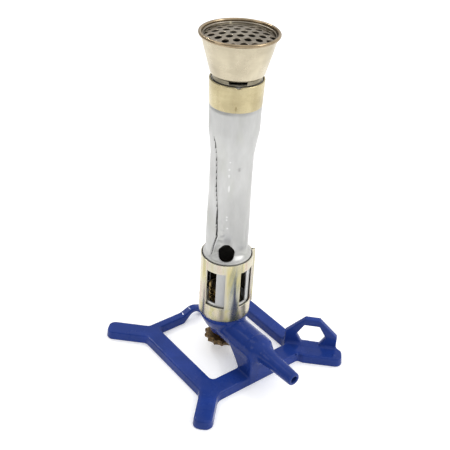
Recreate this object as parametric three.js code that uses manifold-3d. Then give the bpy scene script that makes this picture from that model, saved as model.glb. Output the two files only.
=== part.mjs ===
// Laboratory gas burner with a grid head: a cast base with a gas arm and hose nozzle, a needle valve
// under the hub, a threaded jet spigot, a sheet-metal mixing tube with a turning air collar, and a
// flared head that holds a perforated grid.
import * as THREE from 'three';
import { mergeVertices } from 'three/addons/utils/BufferGeometryUtils.js';
import Module from 'manifold-3d';

const wasm = await Module();
wasm.setup();

// Driving dimensions, in millimetres and degrees. The burner's axis is the line x = 0, y = 0 in the
// group. The group is then moved along Y, which puts the origin under the middle of the outline.
const GAP = 0.3;                    // clearance between neighbouring pieces

const FRAME_THICKNESS = 6.3;
const FRAME_BEVEL = 1;
const FRAME_HALF_X = 43.3;          // outer faces of the side bars
const FRAME_FRONT_Y = -43.2;
const FRAME_BACK_Y = 39;
const OPENING = { left: -30.5, right: 32.7, front: -29.5, back: 32, corner: 2.5 };
const FOOT_HALF_WIDTH = 6.5;
const FOOT_TIP_ROUNDING = 5;
const NOTCH_ROUNDING = 2;           // where a foot leaves the frame
// The middle of each foot's rounded tip. Every foot runs out at 45 degrees.
const FOOT_TIPS = {
  frontLeft: [-53.5, -51.9],
  frontRight: [52, -56.2],
  backRight: [54.4, 49.6],
  backLeft: [-54.4, 49.6],
};

const ARCH_HALF = 10.5;             // half span of the raised middle of the back bar
const ARCH_FLAT = 3;                // half length of its level part
const ARCH_RISE = 5.8;
const ARCH_TOP = 9.3;

const RING_CENTRE = [46.1, -39.3];
const RING_ANGLE = -46.5;           // direction of the ring's plate, from +X towards +Y
const RING_HALF_WIDTH = 17.7;
const RING_TOP_Z = 27.8;
const RING_SHOULDER_Z = 15.1;
const RING_FLAT = 10;
const RING_HOLE_RADIUS = 9.8;
const RING_HOLE_Z = 14;
const RING_THICKNESS = 4.5;

const GAS_AXIS_Z = 23;
const ARM_HALF_WIDTH = 10;
const ARM_BOTTOM_Z = 15;
const ARM_TOP_Z = 31.7;
const ARM_FRONT_Y = -43;
const PEDESTAL_HALF_WIDTH = 9.8;
const NOZZLE_TIP_Y = -73;
const NOZZLE_ROOT_RADIUS = 6;
const NOZZLE_TIP_RADIUS = 4.3;
const NOZZLE_CYLINDER = 5;          // length of the nozzle before its taper
const GAS_BORE_RADIUS = 2.2;

const HUB_BOTTOM_Z = 14.2;
const HUB_TOP_Z = 32.4;
const HUB_TOP_RADIUS = 16;
const SPIGOT_BORE_RADIUS = 8;
const GLAND_BORE_RADIUS = 6.4;
const CHAMBER_TOP_Z = 26;           // top of the gland's chamber, bottom of the spigot's bore

const GLAND_BOTTOM_Z = 13.4;
const GLAND_TOP_Z = 18.6;
const PACKING_THICKNESS = 1.4;
const THRUST_WASHER_THICKNESS = 0.8;

const WHEEL_RADIUS = 12.4;
const WHEEL_BOTTOM_Z = 7;
const WHEEL_TOP_Z = 11.5;
const WHEEL_LOBES = 14;
const WHEEL_LOBE_DEPTH = 1.5;
const WHEEL_STEPS = 4;             // outline points in each lobe
const WHEEL_BOSS_RADIUS = 5.3;
const WHEEL_BOSS_TOP_Z = 12.6;
const SPINDLE_RADIUS = 2.4;
const SPINDLE_END_RADIUS = 1.8;     // the journal that carries the wheel
const SPINDLE_TIP_Z = 54.5;
const SCREW_RADIUS = 3.4;
const SCREW_BOTTOM_Z = 5.2;
const SCREW_TOP_Z = 7.2;

const THREAD_RADIUS = 10.6;         // coarse thread on the spigot
const THREAD_ROOT_RADIUS = 9.6;
const THREAD_PITCH = 2.2;
const THREAD_START_Z = 37.4;
const FLANGE_RADIUS = 12.6;         // over the corners of the hexagon
const FLANGE_BOTTOM_Z = 33.9;
const SPIGOT_TOP_Z = 53;
const SPIGOT_BORE = 3;
const GASKET_RADIUS = 12;
const JET_STEM_RADIUS = 2.7;
const JET_WASHER_RADIUS = 4.4;
const JET_SEAT_Z = 54;              // underside of the jet's hexagon
const JET_TOP_Z = 60;
const BUSH_BOTTOM_Z = 38;
const BUSH_TOP_Z = 43.4;

const TUBE_BOTTOM_Z = 33.2;
const TUBE_TOP_Z = 196.6;
const TUBE_WALL = 0.8;
const TUBE_FOOT_RADIUS = 15.6;
const TUBE_LIP_Z = 79.5;
const PORT_HALF_ANGLE = 17.5;
const PORT_BOTTOM_Z = 46;
const PORT_TOP_Z = 70;

const COLLAR_BOTTOM_Z = 32.8;
const COLLAR_TOP_Z = 77.6;
const COLLAR_RADIUS = 17;
const COLLAR_WALL = 0.7;
const WINDOW_HALF_ANGLE = 22.5;
const WINDOW_BOTTOM_Z = 43.8;
const WINDOW_TOP_Z = 71;
const SEAM_ANGLE = -20.6;           // the collar's standing seam, from +X towards +Y
const SEAM_RADIUS = 19.4;
const FIRST_WINDOW_ANGLE = -71.8;
const WINDOW_PITCH = 80;            // the seam takes up the wider gap that is left
const COLLAR_TURN = 16.7;           // how far the collar stands from fully open

const FERRULE_BOTTOM_Z = 181.3;
const FERRULE_TOP_Z = 197;
const FERRULE_INNER_RADIUS = 14.9;
const FERRULE_OUTER_RADIUS = 16.06;
const HEAD_NECK_RADIUS = 14.6;
const HEAD_NECK_TOP_Z = 200.3;
const HEAD_FOOT_RADIUS = 15.9;      // foot of the cone, which overhangs the neck
const HEAD_RIM_RADIUS = 23;
const HEAD_RIM_Z = 222.8;
const HEAD_WALL = 1.2;
const HEAD_SOCKET_RADIUS = 13.4;     // the stub that plugs into the tube
const HEAD_SOCKET_Z = 188;
const NECK_SLOT_ANGLES = [-126.3, 53.7];
const NECK_SLOT_HALF_ANGLE = 21;
const NECK_SLOT_BOTTOM_Z = 197.9;
const NECK_SLOT_TOP_Z = 199.6;

const GRID_RADIUS = 20.9;
const GRID_BOTTOM_Z = 218.6;
const GRID_TOP_Z = 220.8;
const GRID_DOME = 2.4;              // rise of the middle over the flat edge
const GRID_HOLE_RADIUS = 2;
const GRID_PITCH = 6.15;
const GRID_TURN = -28.2;            // direction of one row of holes, from +X towards +Y
const GRID_FIRST_HOLE = [2.5, -0.9];
const GRID_OPEN_RADIUS = 19.6;      // nothing is pierced beyond this
const RETAINER_SPLIT_ANGLE = 66;

// Colours, roughness and metalness.
const BLUE_ENAMEL = { color: 0x2b3e8c, roughness: 0.3, metalness: 0.05 };
const ZINC = { color: 0xc4c5c8, roughness: 0.45, metalness: 0.9 };
const YELLOW_ZINC = { color: 0xc9c08e, roughness: 0.3, metalness: 0.95 };
const NICKEL = { color: 0xd8cdae, roughness: 0.3, metalness: 0.95 };
const GOLD = { color: 0xcbb878, roughness: 0.3, metalness: 0.95 };
const BRASS = { color: 0xb8934a, roughness: 0.35, metalness: 0.95 };
const DARK_BRASS = { color: 0x5a4526, roughness: 0.5, metalness: 0.8 };
const COPPER = { color: 0xb06a45, roughness: 0.4, metalness: 0.9 };
const STEEL = { color: 0xa8abad, roughness: 0.35, metalness: 0.9 };
const FIBRE = { color: 0x7a3b2c, roughness: 0.8, metalness: 0 };
const GRAPHITE = { color: 0x2c2c2e, roughness: 0.7, metalness: 0 };

const burner = new THREE.Group();

// Small helpers.

function radians(degrees) {
  return THREE.MathUtils.degToRad(degrees);
}

function polar(radius, degrees) {
  return [radius * Math.cos(radians(degrees)), radius * Math.sin(radians(degrees))];
}

function toSolid(geometry) {
  const bare = geometry.index ? geometry.toNonIndexed() : geometry.clone();
  bare.deleteAttribute('normal');
  bare.deleteAttribute('uv');
  const merged = mergeVertices(bare, 1e-4);
  const solid = new wasm.Manifold(new wasm.Mesh({
    numProp: 3,
    vertProperties: merged.attributes.position.array,
    triVerts: new Uint32Array(merged.index.array),
  }));
  return solid;
}

function toGeometry(solid) {
  const mesh = solid.getMesh();
  const geometry = new THREE.BufferGeometry();
  geometry.setAttribute('position', new THREE.BufferAttribute(mesh.vertProperties, 3));
  geometry.setIndex(new THREE.BufferAttribute(mesh.triVerts, 1));
  geometry.computeVertexNormals();
  return geometry;
}

function addPiece(name, solid, look) {
  const mesh = new THREE.Mesh(toGeometry(solid), new THREE.MeshStandardMaterial(look));
  mesh.name = name;
  burner.add(mesh);
}

// Turns a profile of [radius, z] points about the Z axis. A profile that stays off the axis is closed
// on itself; its outer side runs upwards.
function turned(profile, segments = 32) {
  const points = profile.map(([radius, z]) => new THREE.Vector2(radius, z));
  const onAxis = profile[0][0] === 0 && profile[profile.length - 1][0] === 0;
  if (!onAxis) points.push(points[0].clone());
  const geometry = new THREE.LatheGeometry(points, segments);
  geometry.rotateX(Math.PI / 2);
  return toSolid(geometry);
}

function ring(innerRadius, outerRadius, bottom, top, segments = 32) {
  const section = [[innerRadius, bottom], [outerRadius, bottom], [outerRadius, top], [innerRadius, top]];
  return turned(section, segments);
}

function disc(radius, bottom, top, segments = 32) {
  return turned([[0, bottom], [radius, bottom], [radius, top], [0, top]], segments);
}

// A closed outline of [x, y, cornerRadius] points.
function roundedShape(corners) {
  const shape = new THREE.Shape();
  corners.forEach(([x, y, radius], index) => {
    const before = corners[(index + corners.length - 1) % corners.length];
    const after = corners[(index + 1) % corners.length];
    const corner = new THREE.Vector2(x, y);
    const inward = new THREE.Vector2(before[0] - x, before[1] - y).normalize();
    const outward = new THREE.Vector2(after[0] - x, after[1] - y).normalize();
    const start = corner.clone().addScaledVector(inward, radius);
    const end = corner.clone().addScaledVector(outward, radius);
    if (index === 0) shape.moveTo(start.x, start.y);
    else shape.lineTo(start.x, start.y);
    if (radius > 0) shape.quadraticCurveTo(x, y, end.x, end.y);
  });
  shape.closePath();
  return shape;
}

// Extrudes an outline along Z from bottom to top, with an optional edge bevel inside the outline.
function extruded(shape, bottom, top, bevel = 0, curveSegments = 4) {
  const geometry = new THREE.ExtrudeGeometry(shape, {
    depth: top - bottom - 2 * bevel,
    bevelEnabled: bevel > 0,
    bevelThickness: bevel,
    bevelSize: bevel,
    bevelOffset: -bevel,
    bevelSegments: 1,
    curveSegments,
  });
  geometry.translate(0, 0, bottom + bevel);
  return toSolid(geometry);
}

// Moves an extrusion from its own axes (outline X and Y, depth Z) to three given directions.
function reoriented(solid, xDirection, yDirection, zDirection, origin) {
  const matrix = new THREE.Matrix4().makeBasis(xDirection, yDirection, zDirection);
  matrix.setPosition(origin);
  return solid.transform(matrix.toArray());
}

// An outline in the YZ plane, extruded along X about x = 0.
function sideProfile(corners, halfWidth, bevel = 0) {
  const solid = extruded(roundedShape(corners), -halfWidth, halfWidth, bevel);
  const x = new THREE.Vector3(1, 0, 0);
  const y = new THREE.Vector3(0, 1, 0);
  const z = new THREE.Vector3(0, 0, 1);
  return reoriented(solid, y, z, x, new THREE.Vector3());
}

// A pie-slice block used to pierce a tube wall over an angle either side of a direction.
function wedge(centreAngle, halfAngle, innerRadius, outerRadius, bottom, top) {
  const shape = new THREE.Shape();
  shape.absarc(0, 0, outerRadius, radians(centreAngle - halfAngle), radians(centreAngle + halfAngle), false);
  shape.absarc(0, 0, innerRadius, radians(centreAngle + halfAngle), radians(centreAngle - halfAngle), true);
  return extruded(shape, bottom, top, 0, 6);
}

function regularShape(sides, radius, firstAngle) {
  const shape = new THREE.Shape();
  for (let index = 0; index < sides; index += 1) {
    const [x, y] = polar(radius, firstAngle + (360 / sides) * index);
    if (index === 0) shape.moveTo(x, y);
    else shape.lineTo(x, y);
  }
  shape.closePath();
  return shape;
}

// Base casting: frame, arched back bar, gas arm, hub, nozzle and ring.

// The corners of one foot, in the order that keeps the outline running anticlockwise: where it leaves the
// frame, its two rounded tip corners, and where it meets the frame again.
function footCorners([tipX, tipY]) {
  const signX = Math.sign(tipX);
  const signY = Math.sign(tipY);
  const along = new THREE.Vector2(signX, signY).normalize();
  const across = new THREE.Vector2(-along.y, along.x);
  const tip = new THREE.Vector2(tipX, tipY).addScaledVector(along, FOOT_HALF_WIDTH);
  const right = tip.clone().addScaledVector(across, -FOOT_HALF_WIDTH);
  const left = tip.clone().addScaledVector(across, FOOT_HALF_WIDTH);
  const endY = signY > 0 ? FRAME_BACK_Y : FRAME_FRONT_Y;
  const sideX = signX * FRAME_HALF_X;
  const onSide = ({ x, y }) => [sideX, y + (sideX - x) * signX * signY, NOTCH_ROUNDING];
  const onEnd = ({ x, y }) => [x + (endY - y) * signX * signY, endY, NOTCH_ROUNDING];
  const sideFirst = signX * signY > 0;
  return [
    sideFirst ? onSide(right) : onEnd(right),
    [right.x, right.y, FOOT_TIP_ROUNDING],
    [left.x, left.y, FOOT_TIP_ROUNDING],
    sideFirst ? onEnd(left) : onSide(left),
  ];
}

function frameBody() {
  const outline = roundedShape([
    ...footCorners(FOOT_TIPS.frontRight),
    ...footCorners(FOOT_TIPS.backRight),
    ...footCorners(FOOT_TIPS.backLeft),
    ...footCorners(FOOT_TIPS.frontLeft),
  ]);
  outline.holes.push(roundedShape([
    [OPENING.left, OPENING.front, OPENING.corner],
    [OPENING.left, OPENING.back, OPENING.corner],
    [OPENING.right, OPENING.back, OPENING.corner],
    [OPENING.right, OPENING.front, OPENING.corner],
  ]));
  return extruded(outline, 0, FRAME_THICKNESS, FRAME_BEVEL);
}

// The back bar's middle, drawn in the XZ plane and extruded over the bar's width.
function archSolid(corners, frontY, backY) {
  const solid = extruded(roundedShape(corners), frontY, backY);
  const x = new THREE.Vector3(1, 0, 0);
  const y = new THREE.Vector3(0, -1, 0);
  const z = new THREE.Vector3(0, 0, 1);
  return reoriented(solid, x, z, y, new THREE.Vector3());
}

function withArch(frame) {
  const under = archSolid([
    [-ARCH_HALF, -1, 0],
    [ARCH_HALF, -1, 0],
    [ARCH_HALF, 0, 0],
    [ARCH_FLAT, ARCH_RISE, 2],
    [-ARCH_FLAT, ARCH_RISE, 2],
    [-ARCH_HALF, 0, 0],
  ], -FRAME_BACK_Y - 1, -OPENING.back + 1);
  const over = archSolid([
    [-ARCH_HALF, FRAME_THICKNESS - FRAME_BEVEL, 0],
    [ARCH_HALF, FRAME_THICKNESS - FRAME_BEVEL, 0],
    [ARCH_FLAT, ARCH_TOP, 2],
    [-ARCH_FLAT, ARCH_TOP, 2],
  ], -FRAME_BACK_Y + FRAME_BEVEL, -OPENING.back - FRAME_BEVEL);
  return frame.add(over).subtract(under);
}

function hubBody() {
  return turned([
    [0, HUB_BOTTOM_Z],
    [8.4, HUB_BOTTOM_Z],
    [9.2, 17.5],
    [13, 22.5],
    [14.6, 26],
    [HUB_TOP_RADIUS, 30.2],
    [HUB_TOP_RADIUS, HUB_TOP_Z],
    [0, HUB_TOP_Z],
  ]);
}

function gasArm() {
  const section = roundedShape([
    [-ARM_HALF_WIDTH, ARM_BOTTOM_Z, 4],
    [ARM_HALF_WIDTH, ARM_BOTTOM_Z, 4],
    [ARM_HALF_WIDTH, ARM_TOP_Z, 9],
    [-ARM_HALF_WIDTH, ARM_TOP_Z, 9],
  ]);
  const solid = extruded(section, 0, -ARM_FRONT_Y, 2.5);
  const x = new THREE.Vector3(1, 0, 0);
  const forward = new THREE.Vector3(0, -1, 0);
  const z = new THREE.Vector3(0, 0, 1);
  return reoriented(solid, x, z, forward, new THREE.Vector3());
}

function pedestal() {
  return sideProfile([
    [ARM_FRONT_Y, 1, 0],
    [OPENING.front - 1, 1, 0],
    [OPENING.front - 1, FRAME_THICKNESS, 0],
    [-26.5, 11.5, 0],
    [-22, 16.5, 0],
    [-18.5, GAS_AXIS_Z, 0],
    [ARM_FRONT_Y + 1, GAS_AXIS_Z, 0],
    [ARM_FRONT_Y, GAS_AXIS_Z - 4, 0],
  ], PEDESTAL_HALF_WIDTH, 1);
}

function nozzleBody() {
  const reach = ARM_FRONT_Y - NOZZLE_TIP_Y;
  const solid = turned([
    [0, -4],
    [NOZZLE_ROOT_RADIUS + 2, -4],
    [NOZZLE_ROOT_RADIUS + 1.5, 0],
    [NOZZLE_ROOT_RADIUS, NOZZLE_CYLINDER - 2],
    [NOZZLE_ROOT_RADIUS, NOZZLE_CYLINDER],
    [NOZZLE_ROOT_RADIUS - 0.8, NOZZLE_CYLINDER + 6],
    [NOZZLE_TIP_RADIUS, reach - 0.6],
    [NOZZLE_TIP_RADIUS - 0.6, reach],
    [0, reach],
  ], 32);
  return alongArm(solid, ARM_FRONT_Y);
}

// Lays a solid turned about Z along the gas passage, with its z running towards the nozzle tip.
function alongArm(solid, startY) {
  const x = new THREE.Vector3(1, 0, 0);
  const up = new THREE.Vector3(0, 0, 1);
  const forward = new THREE.Vector3(0, -1, 0);
  return reoriented(solid, x, up, forward, new THREE.Vector3(0, startY, GAS_AXIS_Z));
}

function footRing() {
  const outline = roundedShape([
    [-RING_HALF_WIDTH, 0, 0],
    [RING_HALF_WIDTH, 0, 0],
    [RING_HALF_WIDTH, RING_SHOULDER_Z, 0],
    [RING_FLAT / 2, RING_TOP_Z, 0],
    [-RING_FLAT / 2, RING_TOP_Z, 0],
    [-RING_HALF_WIDTH, RING_SHOULDER_Z, 0],
  ]);
  const plate = extruded(outline, -RING_THICKNESS / 2, RING_THICKNESS / 2, 0.6);
  const hole = extruded(regularShape(6, RING_HOLE_RADIUS, 0), -RING_THICKNESS, RING_THICKNESS);
  const ringSolid = plate.subtract(hole.translate([0, RING_HOLE_Z, 0]));
  const along = new THREE.Vector3(...polar(1, RING_ANGLE), 0);
  const up = new THREE.Vector3(0, 0, 1);
  const normal = along.clone().cross(up);
  return reoriented(ringSolid, along, up, normal, new THREE.Vector3(...RING_CENTRE, 0));
}

function baseCasting() {
  const outside = withArch(frameBody())
    .add(gasArm())
    .add(pedestal())
    .add(hubBody())
    .add(nozzleBody())
    .add(footRing());
  const spigotBore = disc(SPIGOT_BORE_RADIUS, CHAMBER_TOP_Z, HUB_TOP_Z + 1);
  const glandBore = disc(GLAND_BORE_RADIUS, HUB_BOTTOM_Z - 1, CHAMBER_TOP_Z + 1);
  const gasBore = alongArm(disc(GAS_BORE_RADIUS, 0, -NOZZLE_TIP_Y + 1, 16), 0);
  return outside.subtract(spigotBore).subtract(glandBore).subtract(gasBore);
}

// Needle valve: gland, packing, spindle and wheel.

function glandNut() {
  return ring(SPINDLE_RADIUS + GAP, GLAND_BORE_RADIUS - GAP, GLAND_BOTTOM_Z, GLAND_TOP_Z);
}

function packingRing() {
  const bottom = GLAND_TOP_Z + GAP;
  return ring(SPINDLE_RADIUS + GAP, GLAND_BORE_RADIUS - GAP, bottom, bottom + PACKING_THICKNESS);
}

function thrustWasher() {
  const bottom = GLAND_TOP_Z + GAP + PACKING_THICKNESS + GAP;
  return ring(SPINDLE_RADIUS + GAP, GLAND_BORE_RADIUS - GAP, bottom, bottom + THRUST_WASHER_THICKNESS);
}

function valveSpindle() {
  const end = SCREW_TOP_Z + 0.6;
  const shoulder = WHEEL_BOSS_TOP_Z + GAP;
  const needleRadius = 1.6;
  return turned([
    [0, end],
    [SPINDLE_END_RADIUS, end],
    [SPINDLE_END_RADIUS, shoulder],
    [SPINDLE_RADIUS, shoulder],
    [SPINDLE_RADIUS, 40],
    [needleRadius, 42],
    [needleRadius, 49],
    [0.4, SPINDLE_TIP_Z],
    [0, SPINDLE_TIP_Z],
  ], 24);
}

function gasThumbwheel() {
  const outline = new THREE.Shape();
  const steps = WHEEL_LOBES * WHEEL_STEPS;
  for (let step = 0; step < steps; step += 1) {
    const wave = Math.cos(radians((360 / WHEEL_STEPS) * step));
    const radius = WHEEL_RADIUS - WHEEL_LOBE_DEPTH * (0.5 - 0.5 * wave);
    const [x, y] = polar(radius, (360 / steps) * step);
    if (step === 0) outline.moveTo(x, y);
    else outline.lineTo(x, y);
  }
  outline.closePath();
  const wheel = extruded(outline, WHEEL_BOTTOM_Z, WHEEL_TOP_Z, 0.6);
  const boss = turned([
    [0, 9],
    [WHEEL_BOSS_RADIUS, 9],
    [WHEEL_BOSS_RADIUS, WHEEL_BOSS_TOP_Z - 0.5],
    [WHEEL_BOSS_RADIUS - 0.5, WHEEL_BOSS_TOP_Z],
    [0, WHEEL_BOSS_TOP_Z],
  ]);
  const bore = disc(SPINDLE_END_RADIUS + GAP, WHEEL_BOTTOM_Z - 1, WHEEL_BOSS_TOP_Z + 1, 24);
  const screwRecess = disc(SCREW_RADIUS + GAP, WHEEL_BOTTOM_Z - 1, SCREW_TOP_Z + GAP, 24);
  return wheel.add(boss).subtract(bore).subtract(screwRecess);
}

function thumbwheelScrew() {
  const head = turned([
    [0, SCREW_BOTTOM_Z],
    [SCREW_RADIUS - 0.5, SCREW_BOTTOM_Z],
    [SCREW_RADIUS, SCREW_BOTTOM_Z + 0.5],
    [SCREW_RADIUS, SCREW_TOP_Z],
    [0, SCREW_TOP_Z],
  ], 24);
  const slotOutline = roundedShape([[-4, -0.4, 0], [4, -0.4, 0], [4, 0.4, 0], [-4, 0.4, 0]]);
  const slot = extruded(slotOutline, SCREW_BOTTOM_Z - 0.7, SCREW_BOTTOM_Z + 0.8);
  return head.subtract(slot);
}

// Jet spigot: hexagon flange, coarse thread, jet on top.

function jetSpigot() {
  const profile = [
    [SPIGOT_BORE, CHAMBER_TOP_Z + GAP],
    [SPIGOT_BORE_RADIUS - GAP, CHAMBER_TOP_Z + GAP],
    [SPIGOT_BORE_RADIUS - GAP, 34],
    [THREAD_ROOT_RADIUS, 34],
    [THREAD_ROOT_RADIUS, THREAD_START_Z],
  ];
  const turns = Math.floor((SPIGOT_TOP_Z - 1 - THREAD_START_Z) / THREAD_PITCH);
  for (let turn = 0; turn < turns; turn += 1) {
    const start = THREAD_START_Z + turn * THREAD_PITCH;
    profile.push([THREAD_RADIUS, start + 0.35 * THREAD_PITCH]);
    profile.push([THREAD_RADIUS, start + 0.6 * THREAD_PITCH]);
    profile.push([THREAD_ROOT_RADIUS, start + 0.95 * THREAD_PITCH]);
  }
  profile.push([THREAD_ROOT_RADIUS, SPIGOT_TOP_Z - 1]);
  profile.push([THREAD_ROOT_RADIUS - 1, SPIGOT_TOP_Z]);
  profile.push([SPIGOT_BORE, SPIGOT_TOP_Z]);
  const stem = turned(profile, 24);
  const flange = extruded(regularShape(6, FLANGE_RADIUS, 30), FLANGE_BOTTOM_Z, 37);
  return stem.add(flange.subtract(disc(5, 33, 38, 24)));
}

function spigotGasket() {
  return ring(SPIGOT_BORE_RADIUS, GASKET_RADIUS, HUB_TOP_Z + GAP, FLANGE_BOTTOM_Z - GAP);
}

function jetWasher() {
  return ring(JET_STEM_RADIUS + GAP, JET_WASHER_RADIUS, SPIGOT_TOP_Z + GAP, JET_SEAT_Z - GAP, 24);
}

function gasJet() {
  const inlet = 2;
  const orifice = 0.9;
  const stem = turned([
    [inlet, 49.4],
    [JET_STEM_RADIUS, 49.4],
    [JET_STEM_RADIUS, JET_SEAT_Z],
    [3.4, JET_SEAT_Z],
    [3.4, 57.6],
    [1.8, JET_TOP_Z],
    [orifice, JET_TOP_Z],
    [orifice, 56.5],
    [inlet, 55],
  ], 24);
  const hexagon = extruded(regularShape(6, 4.8, 0), JET_SEAT_Z, 57);
  return stem.add(hexagon.subtract(disc(3, JET_SEAT_Z - 1, 58, 24)));
}

// Mixing tube.

// Outer radius of the tube at rest of pressing: round foot, waist, and the neck that takes the ferrule.
function tubeRadius(z) {
  const stations = [
    [TUBE_BOTTOM_Z, TUBE_FOOT_RADIUS],
    [TUBE_LIP_Z, TUBE_FOOT_RADIUS],
    [86, 14.9],
    [104, 14.8],
    [130, 14.2],
    [150, 13.4],
    [165, 15.2],
    [180, 15.3],
    [181.2, 14.6],
    [TUBE_TOP_Z, 14.6],
  ];
  for (let index = 1; index < stations.length; index += 1) {
    const [z0, r0] = stations[index - 1];
    const [z1, r1] = stations[index];
    if (z <= z1) return THREE.MathUtils.lerp(r0, r1, (z - z0) / (z1 - z0));
  }
  return stations[stations.length - 1][1];
}

// How far a pressed panel stands in from the round tube, at an angle and a height.
const PRESSED_PANELS = [
  { angle: -124, halfAngle: 46, depth: 2.2 },
  { angle: -37, halfAngle: 40, depth: 2.4 },
  { angle: 56, halfAngle: 46, depth: 2.2 },
  { angle: 143, halfAngle: 30, depth: 1.2 },
];

const PANEL_OPENING = { halfWidth: 6.2, halfHeight: 4.8, z: 84.4, angleBack: 6 };

function pressedDepth(angle, z) {
  const rise = THREE.MathUtils.smoothstep(z, TUBE_LIP_Z, 86);
  const fade = 1 - THREE.MathUtils.smoothstep(z, 88, 150);
  let depth = 0;
  for (const panel of PRESSED_PANELS) {
    const away = Math.abs(((angle - panel.angle + 540) % 360) - 180);
    if (away < panel.halfAngle) {
      const share = Math.cos(radians((90 * away) / panel.halfAngle));
      depth += panel.depth * share * rise * fade;
    }
  }
  return depth;
}

const TUBE_LEVELS = [
  TUBE_BOTTOM_Z, TUBE_LIP_Z, 82, 86, 92, 104, 118, 130, 142, 150, 165, 180, 181.2, TUBE_TOP_Z,
];
const TUBE_SEGMENTS = 36;

// One closed skin at a distance inside the tube's outer surface, running past both ends by an overhang.
function tubeSkin(inset, overhang) {
  const levels = [...TUBE_LEVELS];
  levels[0] -= overhang;
  levels[levels.length - 1] += overhang;
  const positions = [];
  for (const z of levels) {
    for (let step = 0; step < TUBE_SEGMENTS; step += 1) {
      const angle = (360 / TUBE_SEGMENTS) * step;
      const radius = tubeRadius(z) - pressedDepth(angle, z) - inset;
      const [x, y] = polar(radius, angle);
      positions.push(x, y, z);
    }
  }
  const bottomCentre = positions.length / 3;
  positions.push(0, 0, levels[0]);
  positions.push(0, 0, levels[levels.length - 1]);
  const faces = [];
  const lastRow = (levels.length - 1) * TUBE_SEGMENTS;
  for (let step = 0; step < TUBE_SEGMENTS; step += 1) {
    const next = (step + 1) % TUBE_SEGMENTS;
    for (let row = 0; row < lastRow; row += TUBE_SEGMENTS) {
      faces.push(row + step, row + next, row + TUBE_SEGMENTS + next);
      faces.push(row + step, row + TUBE_SEGMENTS + next, row + TUBE_SEGMENTS + step);
    }
    faces.push(bottomCentre, next, step);
    faces.push(bottomCentre + 1, lastRow + step, lastRow + next);
  }
  const geometry = new THREE.BufferGeometry();
  geometry.setAttribute('position', new THREE.Float32BufferAttribute(positions, 3));
  geometry.setIndex(faces);
  return toSolid(geometry);
}

// The centres of the collar's four windows. The tube's ports stand the same way, a turn behind them.
function windowAngles(turn) {
  return [0, 1, 2, 3].map((index) => FIRST_WINDOW_ANGLE - WINDOW_PITCH * index - turn);
}

// An opening left where a pressed panel breaks away from the round foot.
function panelOpening(angle) {
  const shape = new THREE.Shape();
  shape.absellipse(0, 0, PANEL_OPENING.halfWidth, PANEL_OPENING.halfHeight, 0, 2 * Math.PI, false, 0);
  const solid = extruded(shape, 8, 20, 0, 8);
  const out = new THREE.Vector3(...polar(1, angle), 0);
  const up = new THREE.Vector3(0, 0, 1);
  const side = up.clone().cross(out);
  return reoriented(solid, side, up, out, new THREE.Vector3(0, 0, PANEL_OPENING.z));
}

function mixingTube() {
  let tube = tubeSkin(0, 0).subtract(tubeSkin(TUBE_WALL, 1));
  for (const angle of windowAngles(COLLAR_TURN)) {
    tube = tube.subtract(wedge(angle, PORT_HALF_ANGLE, 8, 20, PORT_BOTTOM_Z, PORT_TOP_Z));
  }
  for (const panel of [PRESSED_PANELS[0], PRESSED_PANELS[2]]) {
    tube = tube.subtract(panelOpening(panel.angle - PANEL_OPENING.angleBack));
  }
  return tube;
}

function tubeBush() {
  return ring(THREAD_RADIUS + GAP, TUBE_FOOT_RADIUS - TUBE_WALL - GAP, BUSH_BOTTOM_Z, BUSH_TOP_Z);
}

// Air collar: a rolled sleeve with four windows and a standing seam.
function airCollar() {
  let collar = ring(COLLAR_RADIUS - COLLAR_WALL, COLLAR_RADIUS, COLLAR_BOTTOM_Z, COLLAR_TOP_Z, 48);
  for (const angle of windowAngles(0)) {
    collar = collar.subtract(wedge(angle, WINDOW_HALF_ANGLE, 12, 22, WINDOW_BOTTOM_Z, WINDOW_TOP_Z));
  }
  const seamHalf = 0.7;
  const seamBottom = COLLAR_BOTTOM_Z + 2.2;
  const seamStart = COLLAR_RADIUS - COLLAR_WALL / 2;
  const seamShape = roundedShape([
    [seamStart, -seamHalf, 0],
    [SEAM_RADIUS, -seamHalf, 0.4],
    [SEAM_RADIUS, seamHalf, 0.4],
    [seamStart, seamHalf, 0],
  ]);
  const seam = extruded(seamShape, seamBottom, COLLAR_TOP_Z).rotate([0, 0, SEAM_ANGLE]);
  return collar.add(seam);
}

// Head: ferrule, flared cone, grid and its retaining ring.

function headFerrule() {
  return turned([
    [FERRULE_INNER_RADIUS, FERRULE_BOTTOM_Z],
    [FERRULE_OUTER_RADIUS - 0.7, FERRULE_BOTTOM_Z],
    [FERRULE_OUTER_RADIUS, FERRULE_TOP_Z - 1.2],
    [FERRULE_OUTER_RADIUS - 0.2, FERRULE_TOP_Z],
    [FERRULE_INNER_RADIUS + 0.3, FERRULE_TOP_Z],
    [FERRULE_INNER_RADIUS, FERRULE_TOP_Z - 1.6],
  ]);
}

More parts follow.
